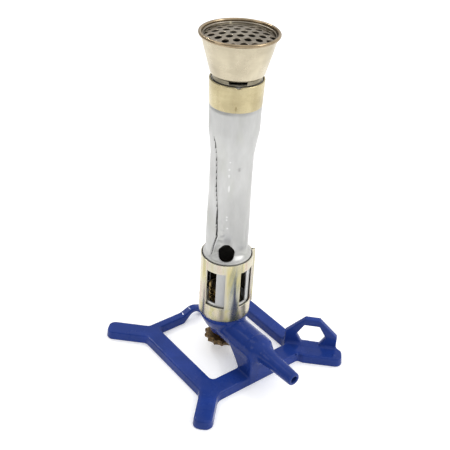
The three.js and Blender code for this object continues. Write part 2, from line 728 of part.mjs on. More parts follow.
function burnerHead() {
  const socketTop = FERRULE_TOP_Z + GAP;
  const seatRadius = GRID_RADIUS + GAP;
  const cone = turned([
    [HEAD_SOCKET_RADIUS - HEAD_WALL, HEAD_SOCKET_Z],
    [HEAD_SOCKET_RADIUS, HEAD_SOCKET_Z],
    [HEAD_SOCKET_RADIUS, socketTop],
    [HEAD_NECK_RADIUS, socketTop],
    [HEAD_NECK_RADIUS, HEAD_NECK_TOP_Z],
    [HEAD_FOOT_RADIUS, HEAD_NECK_TOP_Z + 0.2],
    [HEAD_RIM_RADIUS, HEAD_RIM_Z - 0.4],
    [HEAD_RIM_RADIUS - 0.4, HEAD_RIM_Z + 1],
    [seatRadius, HEAD_RIM_Z + 1],
    [seatRadius, GRID_BOTTOM_Z - GAP],
    [HEAD_NECK_RADIUS - HEAD_WALL, HEAD_NECK_TOP_Z],
    [HEAD_SOCKET_RADIUS - HEAD_WALL, socketTop],
  ], 36);
  const slots = NECK_SLOT_ANGLES.map((angle) => wedge(
    angle, NECK_SLOT_HALF_ANGLE, 13, 17, NECK_SLOT_BOTTOM_Z, NECK_SLOT_TOP_Z));
  return slots.reduce((head, slot) => head.subtract(slot), cone);
}

// A triangular lattice of holes, turned and set off the axis as the plate was punched.
function gridHoleCentres() {
  const reach = GRID_OPEN_RADIUS + GRID_HOLE_RADIUS * 0.4;
  const row = new THREE.Vector2(...polar(GRID_PITCH, GRID_TURN));
  const nextRow = new THREE.Vector2(...polar(GRID_PITCH, GRID_TURN + 60));
  const centres = [];
  for (let i = -6; i <= 6; i += 1) {
    for (let j = -6; j <= 6; j += 1) {
      const centre = new THREE.Vector2(...GRID_FIRST_HOLE).addScaledVector(row, i).addScaledVector(nextRow, j);
      if (centre.length() < reach) centres.push([centre.x, centre.y]);
    }
  }
  return centres;
}

// Radii and heights of the dome, from the middle out to the flat edge.
function domeProfile(base) {
  const radii = [0, 0.4, 0.7, 1].map((share) => share * GRID_OPEN_RADIUS);
  return radii.map((radius) => [radius, base + GRID_DOME * (1 - (radius / GRID_OPEN_RADIUS) ** 2)]);
}

function gridPlate() {
  const bar = new THREE.CylinderGeometry(GRID_HOLE_RADIUS, GRID_HOLE_RADIUS, 12, 8);
  bar.rotateX(Math.PI / 2);
  const drill = toSolid(bar);
  const middle = (GRID_BOTTOM_Z + GRID_TOP_Z) / 2;
  const limit = disc(GRID_OPEN_RADIUS, GRID_BOTTOM_Z - 2, GRID_TOP_Z + 4);
  let plate = turned([
    ...domeProfile(GRID_BOTTOM_Z),
    [GRID_RADIUS, GRID_BOTTOM_Z],
    [GRID_RADIUS, GRID_TOP_Z],
    ...domeProfile(GRID_TOP_Z).reverse(),
  ], 36);
  for (const [x, y] of gridHoleCentres()) {
    plate = plate.subtract(drill.translate([x, y, middle]).intersect(limit));
  }
  return plate;
}

function gridRetainingRing() {
  const band = ring(GRID_OPEN_RADIUS + GAP, GRID_RADIUS, GRID_TOP_Z + GAP, GRID_TOP_Z + 1.4);
  return band.subtract(wedge(RETAINER_SPLIT_ANGLE, 2, 15, 25, GRID_TOP_Z, GRID_TOP_Z + 3));
}

addPiece('base_casting', baseCasting(), BLUE_ENAMEL);
addPiece('gland_nut', glandNut(), BRASS);
addPiece('packing_ring', packingRing(), GRAPHITE);
addPiece('thrust_washer', thrustWasher(), BRASS);
addPiece('valve_spindle', valveSpindle(), BRASS);
addPiece('gas_thumbwheel', gasThumbwheel(), DARK_BRASS);
addPiece('thumbwheel_screw', thumbwheelScrew(), STEEL);
addPiece('spigot_gasket', spigotGasket(), FIBRE);
addPiece('jet_spigot', jetSpigot(), BRASS);
addPiece('jet_washer', jetWasher(), COPPER);
addPiece('gas_jet', gasJet(), BRASS);
addPiece('tube_bush', tubeBush(), STEEL);
addPiece('mixing_tube', mixingTube(), ZINC);
addPiece('air_collar', airCollar(), YELLOW_ZINC);
addPiece('head_ferrule', headFerrule(), GOLD);
addPiece('burner_head', burnerHead(), NICKEL);
addPiece('grid_plate', gridPlate(), NICKEL);
addPiece('grid_retaining_ring', gridRetainingRing(), NICKEL);

// The origin lies under the middle of the outline, between the nozzle tip and the back feet.
const outlineBox = new THREE.Box3().setFromObject(burner);
burner.position.y = -(outlineBox.min.y + outlineBox.max.y) / 2;

export default burner;
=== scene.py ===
"""Looks of the grid-head laboratory gas burner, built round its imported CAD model.

Shapes are worked out in millimetres from the burner's own axis, with z = 0 on the bench. They become
metres in the frame's own coordinates when a mesh is made. Angles are in degrees from +X towards +Y.
"""
import math

import bpy
import numpy as np
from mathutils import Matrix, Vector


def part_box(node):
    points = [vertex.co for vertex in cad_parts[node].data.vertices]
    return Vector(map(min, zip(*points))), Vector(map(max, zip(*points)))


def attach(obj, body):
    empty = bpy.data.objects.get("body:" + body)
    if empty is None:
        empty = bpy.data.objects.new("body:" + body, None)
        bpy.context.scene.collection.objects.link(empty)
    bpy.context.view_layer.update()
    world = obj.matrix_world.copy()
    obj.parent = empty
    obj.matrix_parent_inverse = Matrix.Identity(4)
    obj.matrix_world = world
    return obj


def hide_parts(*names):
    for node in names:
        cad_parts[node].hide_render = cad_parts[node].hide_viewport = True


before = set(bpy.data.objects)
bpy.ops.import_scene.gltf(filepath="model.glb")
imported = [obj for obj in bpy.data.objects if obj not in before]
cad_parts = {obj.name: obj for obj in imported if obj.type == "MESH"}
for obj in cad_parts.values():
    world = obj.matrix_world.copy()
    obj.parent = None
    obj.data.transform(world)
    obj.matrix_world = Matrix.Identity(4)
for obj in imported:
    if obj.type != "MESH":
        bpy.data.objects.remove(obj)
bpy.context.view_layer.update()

import openvdb
from mathutils import Matrix, Vector

MM = 0.001
_low, _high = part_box("mixing_tube")
AXIS_X = (_low.x + _high.x) / 2 / MM
AXIS_Y = (_low.y + _high.y) / 2 / MM


def span(node):
    """The lowest and highest z of a CAD node, in millimetres."""
    low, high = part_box(node)
    return low.z / MM, high.z / MM


# Where the main view stands, in the burner's own coordinates.
VIEW_AZIMUTH = -39.04
VIEW_ELEVATION = 32.61
VIEW_ROLL = 3.18
VIEW_DISTANCE = 506.1
VIEW_TARGET = (-1.76, 1.43, 97.81)
VIEW_LENS = 64.38


# Mesh helpers

def add_object(name, data):
    thing = bpy.data.objects.new(name, data)
    bpy.context.scene.collection.objects.link(thing)
    return thing


def add_piece(name, shape, material, body, node, sharp=35):
    """A mesh object from (points, faces) in millimetres about the burner's axis, declared to the frame."""
    points, faces = shape
    placed = np.asarray(points, float) + (AXIS_X, AXIS_Y, 0)
    mesh = bpy.data.meshes.new(name)
    mesh.from_pydata((placed * MM).tolist(), [], [list(face) for face in faces])
    mesh.polygons.foreach_set("use_smooth", [True] * len(mesh.polygons))
    mesh.set_sharp_from_angle(angle=math.radians(sharp))
    mesh.update()
    mesh.materials.append(material)
    piece = add_object(name, mesh)
    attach(piece, body)
    if node:
        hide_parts(node)
    return piece


def repaint(piece, material, chosen):
    """Gives a further material to the faces chosen by radius, angle, height and how far they look outward."""
    piece.data.materials.append(material)
    slot = len(piece.data.materials) - 1
    for face in piece.data.polygons:
        x, y, z = face.center / MM
        out = Vector((x - AXIS_X, y - AXIS_Y))
        outward = face.normal.xy.dot(out) / max(out.length, 0.001)
        if chosen(out.length, math.degrees(math.atan2(out.y, out.x)), z, outward):
            face.material_index = slot


def inner_skin(radius, angle, z, outward):
    return outward < -0.5


def smoothstep(x, low, high):
    t = np.clip((x - low) / (high - low), 0, 1)
    return t * t * (3 - 2 * t)


def mound(across, wide, along=0, tall=1):
    """A smooth bump: 1 in its middle, and about a third of that at its half width and half height."""
    return np.exp(-(across / wide) ** 2 - (along / tall) ** 2)


def angle_from(angle, centre):
    """The signed difference of two angles, from -180 to 180."""
    return (np.asarray(angle) - centre + 540) % 360 - 180


def at_height(z, stations):
    """A value at a height, between the (height, value) stations."""
    heights, values = zip(*stations)
    return np.interp(z, heights, values)


def oval(centre, wide, tall, turns):
    """Points of an oval about a centre, at the given angles in radians."""
    return [(centre[0] + wide * math.cos(t), centre[1] + tall * math.sin(t)) for t in turns]


def unpierced(theta, z, centres, half, low, high):
    """True away from the windows at these angles, each half wide to both sides and from low to high."""
    kept = np.ones(theta.shape, bool)
    for centre in centres:
        kept &= ~((np.abs(angle_from(theta, centre)) < half) & (z > low) & (z < high))
    return kept


def rounded_profile(corners, steps=4):
    """A closed or open outline of (r, z, radius) corners, with an arc of a few points at each corner."""
    points = []
    count = len(corners)
    for index, (r, z, radius) in enumerate(corners):
        before = corners[index - 1]
        after = corners[(index + 1) % count]
        if radius <= 0:
            points.append((r, z))
            continue
        corner = np.array((r, z))
        back = np.array(before[:2]) - corner
        ahead = np.array(after[:2]) - corner
        trim = min(radius, np.hypot(*back) * 0.49, np.hypot(*ahead) * 0.49)
        start = corner + back / np.hypot(*back) * trim
        end = corner + ahead / np.hypot(*ahead) * trim
        for step in range(steps + 1):
            t = step / steps
            points.append(tuple((1 - t) ** 2 * start + 2 * t * (1 - t) * corner + t * t * end))
    return points


def round_points(radius, angle, height):
    """Points about the axis; the angle is in degrees."""
    turn = np.radians(angle)
    return np.stack([radius * np.cos(turn), radius * np.sin(turn), height], axis=2).reshape(-1, 3)


def revolve(profile, segments=96, shape=None, closed=True):
    """Points and faces of a profile turned about the axis.

    The profile runs up its outer side. shape(radius, z, angle), where given, returns the radius at each
    angle. An open profile starts and ends on the axis.
    """
    profile = np.array(profile, float)
    angles = np.linspace(0, 360, segments, endpoint=False)
    radius, theta = np.meshgrid(profile[:, 0], angles, indexing="ij")
    height = np.repeat(profile[:, 1][:, None], segments, axis=1)
    if shape is not None:
        radius = shape(radius, height, theta)
    points = round_points(radius, theta, height)
    rows = len(profile)
    faces = []
    last = rows if closed else rows - 1
    for row in range(last):
        above = (row + 1) % rows
        for step in range(segments):
            following = (step + 1) % segments
            faces.append((row * segments + step, row * segments + following,
                          above * segments + following, above * segments + step))
    return points, faces


def turned(corners, segments, shape=None, steps=3):
    """A turned ring or sleeve from the (r, z, radius) corners of its section."""
    return revolve(rounded_profile(corners, steps), segments, shape)


def solid_turned(corners, segments):
    """A turned solid whose profile starts and ends on the axis: the ends are closed with one face each."""
    inner = [point for point in rounded_profile(corners) if point[0] > 0]
    points, faces = revolve(inner, segments, closed=False)
    top = (len(inner) - 1) * segments
    faces.append(tuple(range(segments - 1, -1, -1)))
    faces.append(tuple(range(top, top + segments)))
    return points, faces


def join_shapes(*shapes):
    """Several (points, faces) as one."""
    points, faces, start = [], [], 0
    for some_points, some_faces in shapes:
        points.append(np.asarray(some_points, float))
        faces.extend(tuple(index + start for index in face) for face in some_faces)
        start += len(some_points)
    return np.concatenate(points), faces


def hexagon(apothem, turn=0.0):
    """A radius limit that makes a turned shape six-sided."""
    def shape(radius, height, theta):
        away = (theta - turn) % 60 - 30
        return np.minimum(radius, apothem / np.cos(np.radians(away)))
    return shape


def sheet_tube(angles, heights, outer, thickness, keep, openings=()):
    """A closed thin-walled tube on a grid of angles and heights.

    outer(angle, z) is its outer radius. keep(angle, z) tells which cells are sheet. Each opening is
    (angle, z, half_angle, half_height): its cells go, and the cut edge is drawn onto the oval.
    """
    columns, rows = len(angles), len(heights)
    theta, height = np.meshgrid(angles, heights, indexing="ij")
    theta, height = theta.astype(float), height.astype(float)
    right = np.append(angles[1:], angles[0] + 360)
    cell_theta, cell_height = np.meshgrid((angles + right) / 2, (heights[1:] + heights[:-1]) / 2,
                                          indexing="ij")
    kept = keep(cell_theta, cell_height)
    for centre, level, half_angle, half_height in openings:
        across = angle_from(cell_theta, centre) / half_angle
        along = (cell_height - level) / half_height
        cut = across ** 2 + along ** 2 < 1
        kept &= ~cut
        touched = np.zeros((columns, rows), bool)
        whole = np.zeros((columns, rows), int)
        for shift in (0, 1):
            ring = np.roll(cut, shift, axis=0)
            touched[:, :-1] |= ring
            touched[:, 1:] |= ring
            whole[:, :-1] += ring
            whole[:, 1:] += ring
        edge = touched & (whole < 4)
        u = angle_from(theta, centre) / half_angle
        v = (height - level) / half_height
        size = np.maximum(np.hypot(u, v), 1e-6)
        theta[edge] += ((u / size - u) * half_angle)[edge]
        height[edge] += ((v / size - v) * half_height)[edge]
    outside = outer(theta, height)
    points = np.concatenate([round_points(outside, theta, height),
                             round_points(outside - thickness, theta, height)])
    inner_start = columns * rows
    faces = []

    def index(column, row):
        return (column % columns) * rows + row

    for column in range(columns):
        for row in range(rows - 1):
            if not kept[column, row]:
                continue
            a, b = index(column, row), index(column + 1, row)
            c, d = index(column + 1, row + 1), index(column, row + 1)
            faces.append((a, b, c, d))
            faces.append((d + inner_start, c + inner_start, b + inner_start, a + inner_start))
            edges = ((b, a, row == 0 or not kept[column, row - 1]),
                     (d, c, row == rows - 2 or not kept[column, row + 1]),
                     (a, d, not kept[column - 1, row]),
                     (c, b, not kept[(column + 1) % columns, row]))
            faces += [(i, j, j + inner_start, i + inner_start) for i, j, bare in edges if bare]
    used = np.unique([i for face in faces for i in face])
    renumber = np.full(len(points), -1)
    renumber[used] = np.arange(len(used))
    return points[used], [tuple(int(renumber[i]) for i in face) for face in faces]


def grid_with(low, high, step, extra):
    """Evenly spaced values from low to high, moved so that each extra value is one of them."""
    values = list(np.arange(low, high, step)) + [high]
    for value in extra:
        nearest = int(np.argmin([abs(v - value) for v in values]))
        values[nearest] = value
    return np.array(sorted(set(values)))


# Distance fields, for the cast base

def blend_union(a, b, radius):
    """The union of two distance fields with a fillet."""
    h = np.clip(0.5 + 0.5 * (b - a) / radius, 0, 1)
    return b * (1 - h) + a * h - radius * h * (1 - h)


def blend_cut(a, b, radius):
    """Field a without b, with a soft edge."""
    return -blend_union(-a, b, radius)


def box_2d(x, y, low, high, radius):
    dx = np.abs(x - (low[0] + high[0]) / 2) - (high[0] - low[0]) / 2 + radius
    dy = np.abs(y - (low[1] + high[1]) / 2) - (high[1] - low[1]) / 2 + radius
    return np.hypot(np.maximum(dx, 0), np.maximum(dy, 0)) + np.minimum(np.maximum(dx, dy), 0) - radius


def polygon_2d(x, y, corners):
    """Signed distance to a closed polygon, negative inside."""
    nearest = np.full(np.shape(x), 1e9)
    inside = np.zeros(np.shape(x), bool)
    for (x0, y0), (x1, y1) in zip(corners, corners[1:] + corners[:1]):
        ex, ey = x1 - x0, y1 - y0
        t = np.clip(((x - x0) * ex + (y - y0) * ey) / (ex * ex + ey * ey), 0, 1)
        nearest = np.minimum(nearest, np.hypot(x - x0 - t * ex, y - y0 - t * ey))
        crosses = (y0 > y) != (y1 > y)
        if ey:
            inside ^= crosses & (x < x0 + (y - y0) * ex / ey)
    return np.where(inside, -nearest, nearest)


def thick(flat, away, radius):
    """A flat field given thickness: away is the distance outside its two faces, and its edges are rounded."""
    flat, away = flat + radius, away + radius
    return np.hypot(np.maximum(flat, 0), np.maximum(away, 0)) + np.minimum(np.maximum(flat, away), 0) - radius


def regular_polygon(sides, radius, first_angle, centre=(0, 0)):
    turns = [math.radians(first_angle + 360 / sides * i) for i in range(sides)]
    return [(centre[0] + radius * math.cos(t), centre[1] + radius * math.sin(t)) for t in turns]


# Materials

class Look:
    """A Principled material and short ways to add nodes to it."""

    def __init__(self, name, color, metallic=0.0, roughness=0.4, **sockets):
        self.material = bpy.data.materials.new(name)
        self.material.use_nodes = True
        self.nodes = self.material.node_tree.nodes
        self.links = self.material.node_tree.links
        self.shader = self.nodes["Principled BSDF"]
        self.shader.inputs["Base Color"].default_value = (*color, 1)
        self.shader.inputs["Metallic"].default_value = metallic
        self.shader.inputs["Roughness"].default_value = roughness
        for socket, value in sockets.items():
            self.shader.inputs[socket.replace("_", " ")].default_value = value
        self.place = self.nodes.new("ShaderNodeTexCoord").outputs["Object"]

    def stretched(self, scale):
        """Object coordinates scaled by three numbers, about the burner's axis."""
        mapping = self.nodes.new("ShaderNodeMapping")
        mapping.inputs["Location"].default_value = (-AXIS_X * MM * scale[0], -AXIS_Y * MM * scale[1], 0)
        mapping.inputs["Scale"].default_value = scale
        self.links.new(self.place, mapping.inputs["Vector"])
        return mapping.outputs["Vector"]

    def noise(self, scale, detail=3, roughness=0.5, distortion=0.0):
        """Noise of one scale, or of a scale along x, y and z."""
        if isinstance(scale, (int, float)):
            scale = (scale,) * 3
        node = self.nodes.new("ShaderNodeTexNoise")
        node.inputs["Scale"].default_value = 1
        node.inputs["Detail"].default_value = detail
        node.inputs["Roughness"].default_value = roughness
        node.inputs["Distortion"].default_value = distortion
        self.links.new(self.stretched(scale), node.inputs["Vector"])
        return node.outputs["Fac"]

    def height(self):
        """Height above the bench, in millimetres."""
        split = self.nodes.new("ShaderNodeSeparateXYZ")
        self.links.new(self.place, split.inputs["Vector"])
        return self.math("MULTIPLY", split.outputs["Z"], 1000.0)

    def wear(self, low, high):
        """1 on worn edges, 0 elsewhere."""
        geometry = self.nodes.new("ShaderNodeNewGeometry")
        return self.remap(geometry.outputs["Pointiness"], low, high)

    def math(self, operation, *values):
        node = self.nodes.new("ShaderNodeMath")
        node.operation = operation
        for socket, value in zip(node.inputs, values):
            if isinstance(value, (int, float)):
                socket.default_value = value
            else:
                self.links.new(value, socket)
        return node.outputs["Value"]

    def remap(self, value, low, high, to_low=0.0, to_high=1.0):
        node = self.nodes.new("ShaderNodeMapRange")
        node.interpolation_type = "SMOOTHSTEP"
        for name, number in (("From Min", low), ("From Max", high), ("To Min", to_low), ("To Max", to_high)):
            node.inputs[name].default_value = number
        self.links.new(value, node.inputs["Value"])
        return node.outputs["Result"]

    def ramp(self, value, *stops):
        """A colour ramp of (position, (r, g, b)) stops."""
        node = self.nodes.new("ShaderNodeValToRGB")
        band = node.color_ramp
        while len(band.elements) < len(stops):
            band.elements.new(0.5)
        for element, (position, color) in zip(band.elements, stops):
            element.position = position
            element.color = (*color, 1)
        self.links.new(value, node.inputs["Fac"])
        return node.outputs["Color"]

    def mix(self, share, a, b):
        node = self.nodes.new("ShaderNodeMix")
        node.data_type = "RGBA"
        factor, first, second = node.inputs[0], node.inputs[6], node.inputs[7]
        for socket, value in ((factor, share), (first, a), (second, b)):
            if isinstance(value, tuple):
                socket.default_value = (*value, 1)
            elif isinstance(value, (int, float)):
                socket.default_value = value
            else:
                self.links.new(value, socket)
        return node.outputs[2]

    def worn_color(self, low, high, share, base, bright):
        """Base colour, brighter on worn edges."""
        worn = self.math("MULTIPLY", self.wear(low, high), share)
        self.links.new(self.mix(worn, base, bright), self.shader.inputs["Base Color"])

    def uneven_gloss(self, scale, detail, low, high):
        """Roughness that drifts between two values."""
        value = self.remap(self.noise(scale, detail), 0.3, 0.7, low, high)
        self.links.new(value, self.shader.inputs["Roughness"])

    def bump(self, *layers):
        """Bump layers of (height value, strength, distance in millimetres)."""
        normal = None
        for value, strength, distance in layers:
            node = self.nodes.new("ShaderNodeBump")
            node.inputs["Strength"].default_value = strength
            node.inputs["Distance"].default_value = distance * MM
            self.links.new(value, node.inputs["Height"])
            if normal is not None:
                self.links.new(normal, node.inputs["Normal"])
            normal = node.outputs["Normal"]
        self.links.new(normal, self.shader.inputs["Normal"])


def enamel_look():
    """Glossy blue enamel over a zinc casting: blotched in tone, and thin and pale on worn edges."""
    look = Look("blue_enamel", (0.02, 0.045, 0.23), roughness=0.24, Specular_IOR_Level=0.1,
                Coat_Weight=0.16, Coat_Roughness=0.06)
    blotch = look.noise(60, detail=4)
    base = look.ramp(blotch, (0.3, (0.010, 0.031, 0.175)), (0.55, (0.013, 0.038, 0.21)),
                     (0.75, (0.017, 0.045, 0.25)))
    worn = look.math("MULTIPLY", look.wear(0.53, 0.6), look.remap(look.noise(240), 0.4, 0.65))
    chipped = look.mix(look.math("MULTIPLY", worn, 0.4), base, (0.07, 0.12, 0.36))
    look.links.new(chipped, look.shader.inputs["Base Color"])
    look.uneven_gloss(110, 5, 0.16, 0.34)
    look.bump((look.noise(300, detail=2), 0.25, 0.12),
              (look.noise(55, detail=2), 0.35, 0.35))
    return look.material


def zinc_look():
    """Satin galvanised sheet: clouds of lighter and darker grey, drawn lines up the tube and a few scuffs."""
    look = Look("zinc_sheet", (0.6, 0.6, 0.6), metallic=0.85, roughness=0.4)
    smudge = look.noise((45, 45, 14), detail=5, roughness=0.6)
    base = look.ramp(smudge, (0.3, (0.42, 0.42, 0.41)), (0.5, (0.53, 0.53, 0.52)), (0.72, (0.65, 0.65, 0.64)))
    stained = look.mix(look.remap(look.noise((90, 90, 40), detail=4), 0.5, 0.75, 0.0, 0.4), base,
                       (0.47, 0.48, 0.42))
    look.worn_color(0.53, 0.6, 0.5, stained, (0.85, 0.85, 0.85))
    look.uneven_gloss((70, 70, 30), 5, 0.36, 0.54)
    look.bump((look.noise((900, 900, 25), detail=2), 0.10, 0.05),
              (look.noise((120, 120, 60), detail=3), 0.2, 0.12))
    return look.material


def passivated_look():
    """Yellow passivated zinc: streaks of straw, olive, blue-grey and pink, and spots at its lower rim."""
    look = Look("passivated_sheet", (0.55, 0.5, 0.33), metallic=0.92, roughness=0.25)
    streak = look.noise((105, 105, 11), detail=4, roughness=0.6, distortion=0.5)
    base = look.ramp(streak, (0.32, (0.17, 0.21, 0.26)), (0.40, (0.36, 0.34, 0.20)),
                     (0.47, (0.56, 0.49, 0.24)), (0.54, (0.58, 0.55, 0.42)),
                     (0.61, (0.58, 0.45, 0.36)), (0.70, (0.42, 0.33, 0.25)))
    cloud = look.noise((60, 60, 40), detail=3)
    base = look.mix(look.remap(cloud, 0.4, 0.65, 0.0, 0.6), base, (0.52, 0.50, 0.42))
    spots = look.ramp(look.noise((170, 170, 120), detail=3),
                      (0.4, (0.62, 0.55, 0.46)), (0.62, (0.48, 0.45, 0.14)))
    base = look.mix(look.remap(look.height(), 44.0, 42.0, 0.0, 0.5), base, spots)
    look.worn_color(0.54, 0.62, 0.4, base, (0.80, 0.77, 0.66))
    look.uneven_gloss((130, 130, 40), 5, 0.18, 0.34)
    look.bump((look.noise((140, 140, 22), detail=3), 0.2, 0.12),
              (look.noise((1200, 1200, 60), detail=2), 0.08, 0.03))
    return look.material


def plated_look(name, low, middle, high, roughness):
    """Satin plate over brass: fine polishing lines round the axis, cloudy tarnish and faint runs down it."""
    look = Look(name, middle, metallic=0.97, roughness=roughness)
    cloud = look.noise((40, 40, 60), detail=5, roughness=0.6)
    base = look.ramp(cloud, (0.3, low), (0.52, middle), (0.72, high))
    runs = look.remap(look.noise((130, 130, 9), detail=4), 0.45, 0.7, 0.0, 0.45)
    base = look.mix(runs, base, low)
    brushed = look.noise((35, 35, 2200), detail=2)
    streaked = look.mix(look.remap(brushed, 0.4, 0.7, 0.0, 0.1), base, high)
    look.worn_color(0.54, 0.62, 0.4, streaked, (0.92, 0.88, 0.78))
    look.uneven_gloss(90, 5, roughness - 0.06, roughness + 0.1)
    look.bump((brushed, 0.05, 0.03), (look.noise(70, detail=3), 0.15, 0.15))
    return look.material


def brass_look(name, low, high, roughness):
    """Turned brass: tool lines round the axis and patches of darker tarnish."""
    look = Look(name, high, metallic=0.95, roughness=roughness)
    tarnish = look.noise(220, detail=5, roughness=0.6)
    base = look.ramp(tarnish, (0.32, low), (0.62, high))
    bright = tuple(min(1.0, c * 1.35) for c in high)
    look.worn_color(0.53, 0.6, 0.7, base, bright)
    look.uneven_gloss(260, 4, roughness - 0.08, roughness + 0.12)
    look.bump((look.noise((30, 30, 1600), detail=1), 0.15, 0.05), (look.noise(400), 0.15, 0.06))
    return look.material


def plain_look(name, low, high, metallic, roughness, bump=0.3):
    """A small part's finish: two close shades, uneven gloss and a fine grain."""
    look = Look(name, high, metallic=metallic, roughness=roughness)
    base = look.ramp(look.noise(260, detail=5, roughness=0.6), (0.35, low), (0.65, high))
    look.links.new(base, look.shader.inputs["Base Color"])
    look.uneven_gloss(130, 4, roughness - 0.1, roughness + 0.1)
    look.bump((look.noise(520, detail=3), bump, 0.08))
    return look.material


ENAMEL = enamel_look()
ZINC = zinc_look()
PASSIVATED = passivated_look()
NICKEL = plated_look("nickel_brass", (0.42, 0.37, 0.27), (0.56, 0.50, 0.37), (0.64, 0.58, 0.44), 0.26)
GRID_NICKEL = plated_look("grid_nickel", (0.22, 0.19, 0.15), (0.32, 0.28, 0.225), (0.40, 0.355, 0.27), 0.34)
RIM_BRASS = plated_look("rim_brass", (0.24, 0.18, 0.11), (0.40, 0.31, 0.20), (0.60, 0.50, 0.34), 0.2)
GOLD = plated_look("gold_brass", (0.36, 0.30, 0.17), (0.52, 0.45, 0.27), (0.62, 0.55, 0.36), 0.26)
TURNED_BRASS = brass_look("turned_brass", (0.50, 0.32, 0.10), (0.80, 0.60, 0.26), 0.28)
# Brown brass for the wheel, darkened with painted shade from the hub above it.
SHADED_BRASS = brass_look("dark_brass", (0.07, 0.045, 0.025), (0.20, 0.13, 0.06), 0.42)
BOSS_BRASS = brass_look("bright_brass", (0.62, 0.33, 0.13), (0.85, 0.55, 0.28), 0.25)
STEEL = plain_look("plain_steel", (0.42, 0.42, 0.43), (0.60, 0.60, 0.61), 0.95, 0.35)
COPPER = plain_look("copper", (0.52, 0.25, 0.14), (0.76, 0.42, 0.28), 0.95, 0.35)
FIBRE = plain_look("fibre", (0.16, 0.05, 0.035), (0.26, 0.09, 0.06), 0.0, 0.75, bump=0.5)
# Nearly black inner skins: painted shade standing in for the dim insides of the tube, sleeve and cup.
INSIDE_SHADE = plain_look("painted_inside_shade", (0.008, 0.007, 0.006), (0.03, 0.026, 0.022), 0.55, 0.5)
# Very dark brass: tarnish, together with painted shade for parts deep inside the collar and tube.
TARNISH_AND_SHADE = plain_look("tarnished_shaded_brass", (0.05, 0.035, 0.02), (0.16, 0.11, 0.05), 0.45, 0.8)
# Dark grey for the bottom of the tube's left crease: painted shade.
CREASE_SHADE = plain_look("painted_crease_shade", (0.02, 0.02, 0.02), (0.12, 0.12, 0.115), 0.6, 0.4)
# A darker plate for the cup's neck: painted shade under the foot of the cone.
NECK_SHADE = plated_look("painted_neck_shade", (0.20, 0.18, 0.13), (0.30, 0.27, 0.20), (0.40, 0.36, 0.27), 0.4)
GRAPHITE = plain_look("graphite_packing", (0.02, 0.02, 0.021), (0.06, 0.06, 0.062), 0.1, 0.6, bump=0.6)


# Base casting

FRAME_TOP = 6.3
FOOT_HALF = 6.5
FOOT_TIPS = ((-53.5, -51.9), (52, -56.2), (54.4, 49.6), (-54.4, 49.6))
RING_CENTRE = (46.1, -39.3)
RING_ANGLE = math.radians(-46.5)
GAS_Z = 23.0
HUB_BORE, SPIGOT_BORE, GAS_BORE = 8, 6.4, 2.4
CASTING_LOW, CASTING_HIGH = (-64, -75, -2), (64, 62, 35)
CASTING_VOXEL = 0.5
SCREW_VOXEL = 0.14
FAR_AWAY = 20.0                     # the distance a field starts with, beyond any shape


class Casting:
    """A distance field on a grid, which primitives are added to and cut from block by block.

    A block only has to hold the primitive and its fillet. The radius is the fillet's.
    """

    def __init__(self, low, high, voxel):
        self.low = np.array(low, float)
        self.voxel = voxel
        self.axes = [np.arange(a, b + voxel, voxel) for a, b in zip(low, high)]
        self.field = np.full([len(axis) for axis in self.axes], FAR_AWAY, np.float32)

    def block(self, low, high):
        cuts = []
        for axis, a, b in zip(self.axes, low, high):
            cuts.append(slice(int(np.searchsorted(axis, a)), int(np.searchsorted(axis, b))))
        x, y, z = np.meshgrid(*(axis[cut] for axis, cut in zip(self.axes, cuts)), indexing="ij")
        return tuple(cuts), x, y, z

    def add(self, low, high, distance, radius=0.01):
        cuts, x, y, z = self.block(low, high)
        self.field[cuts] = blend_union(self.field[cuts], distance(x, y, z), radius)

    def cut(self, low, high, distance, radius=0.01):
        cuts, x, y, z = self.block(low, high)
        self.field[cuts] = blend_cut(self.field[cuts], distance(x, y, z), radius)

    def mesh(self):
        band = 3 * self.voxel
        grid = openvdb.FloatGrid(band)
        grid.copyFromArray(np.clip(self.field, -band, band))
        points, quads = grid.convertToQuads(isovalue=0.0)
        return points * self.voxel + self.low, quads


def foot_plan(x, y, tip):
    """A straight foot with a rounded tip, running out at 45 degrees."""
    out_x, out_y = math.copysign(math.sqrt(0.5), tip[0]), math.copysign(math.sqrt(0.5), tip[1])
    along = (x - tip[0]) * out_x + (y - tip[1]) * out_y
    across = (y - tip[1]) * out_x - (x - tip[0]) * out_y
    return box_2d(along, across, (-24, -FOOT_HALF), (FOOT_HALF, FOOT_HALF), 5)


def frame_field(x, y, z):
    plan = box_2d(x, y, (-43.3, -43.2), (43.3, 39), 3)
    for tip in FOOT_TIPS:
        plan = blend_union(plan, foot_plan(x, y, tip), 2.5)
    plan = blend_cut(plan, box_2d(x, y, (-30.2, -29.2), (32.7, 32), 2.5), 1.0)
    rise = np.where(y > 10, 1 - smoothstep(np.abs(x), 0.5, 10.5), 0)
    top = FRAME_TOP + 3.0 * rise
    bottom = 5.8 * rise - 2 * (1 - smoothstep(rise, 0, 0.15))
    draft = 0.12 * np.clip(z, 0, 7)
    return thick(plan + draft, np.maximum(z - top, bottom - z) * 0.93, 0.9)


def hub_field(x, y, z):
    outline = [(-5, 14.2), (8.2, 14.2), (9.2, 17.5), (12.6, 22), (14.6, 26), (16, 29.6), (16, 32.4),
               (-5, 32.4)]
    return polygon_2d(np.hypot(x, y), z, outline)


def arm_field(x, y, z):
    section = np.maximum(np.hypot(x, z - 21.7) - 10, 15.2 - z)
    return thick(section, np.abs(y + 21.5) - 21.5, 5)


def pedestal_field(x, y, z):
    outline = [(-43, 1), (-30.3, 1), (-30.3, 6), (-26.5, 11.5), (-22, 16.5), (-18.5, 22.6), (-39.5, 23.4),
               (-42.2, 20.5), (-43, 17)]
    side = polygon_2d(y, z, outline)
    return thick(side, np.abs(x) - 10, 0.7)


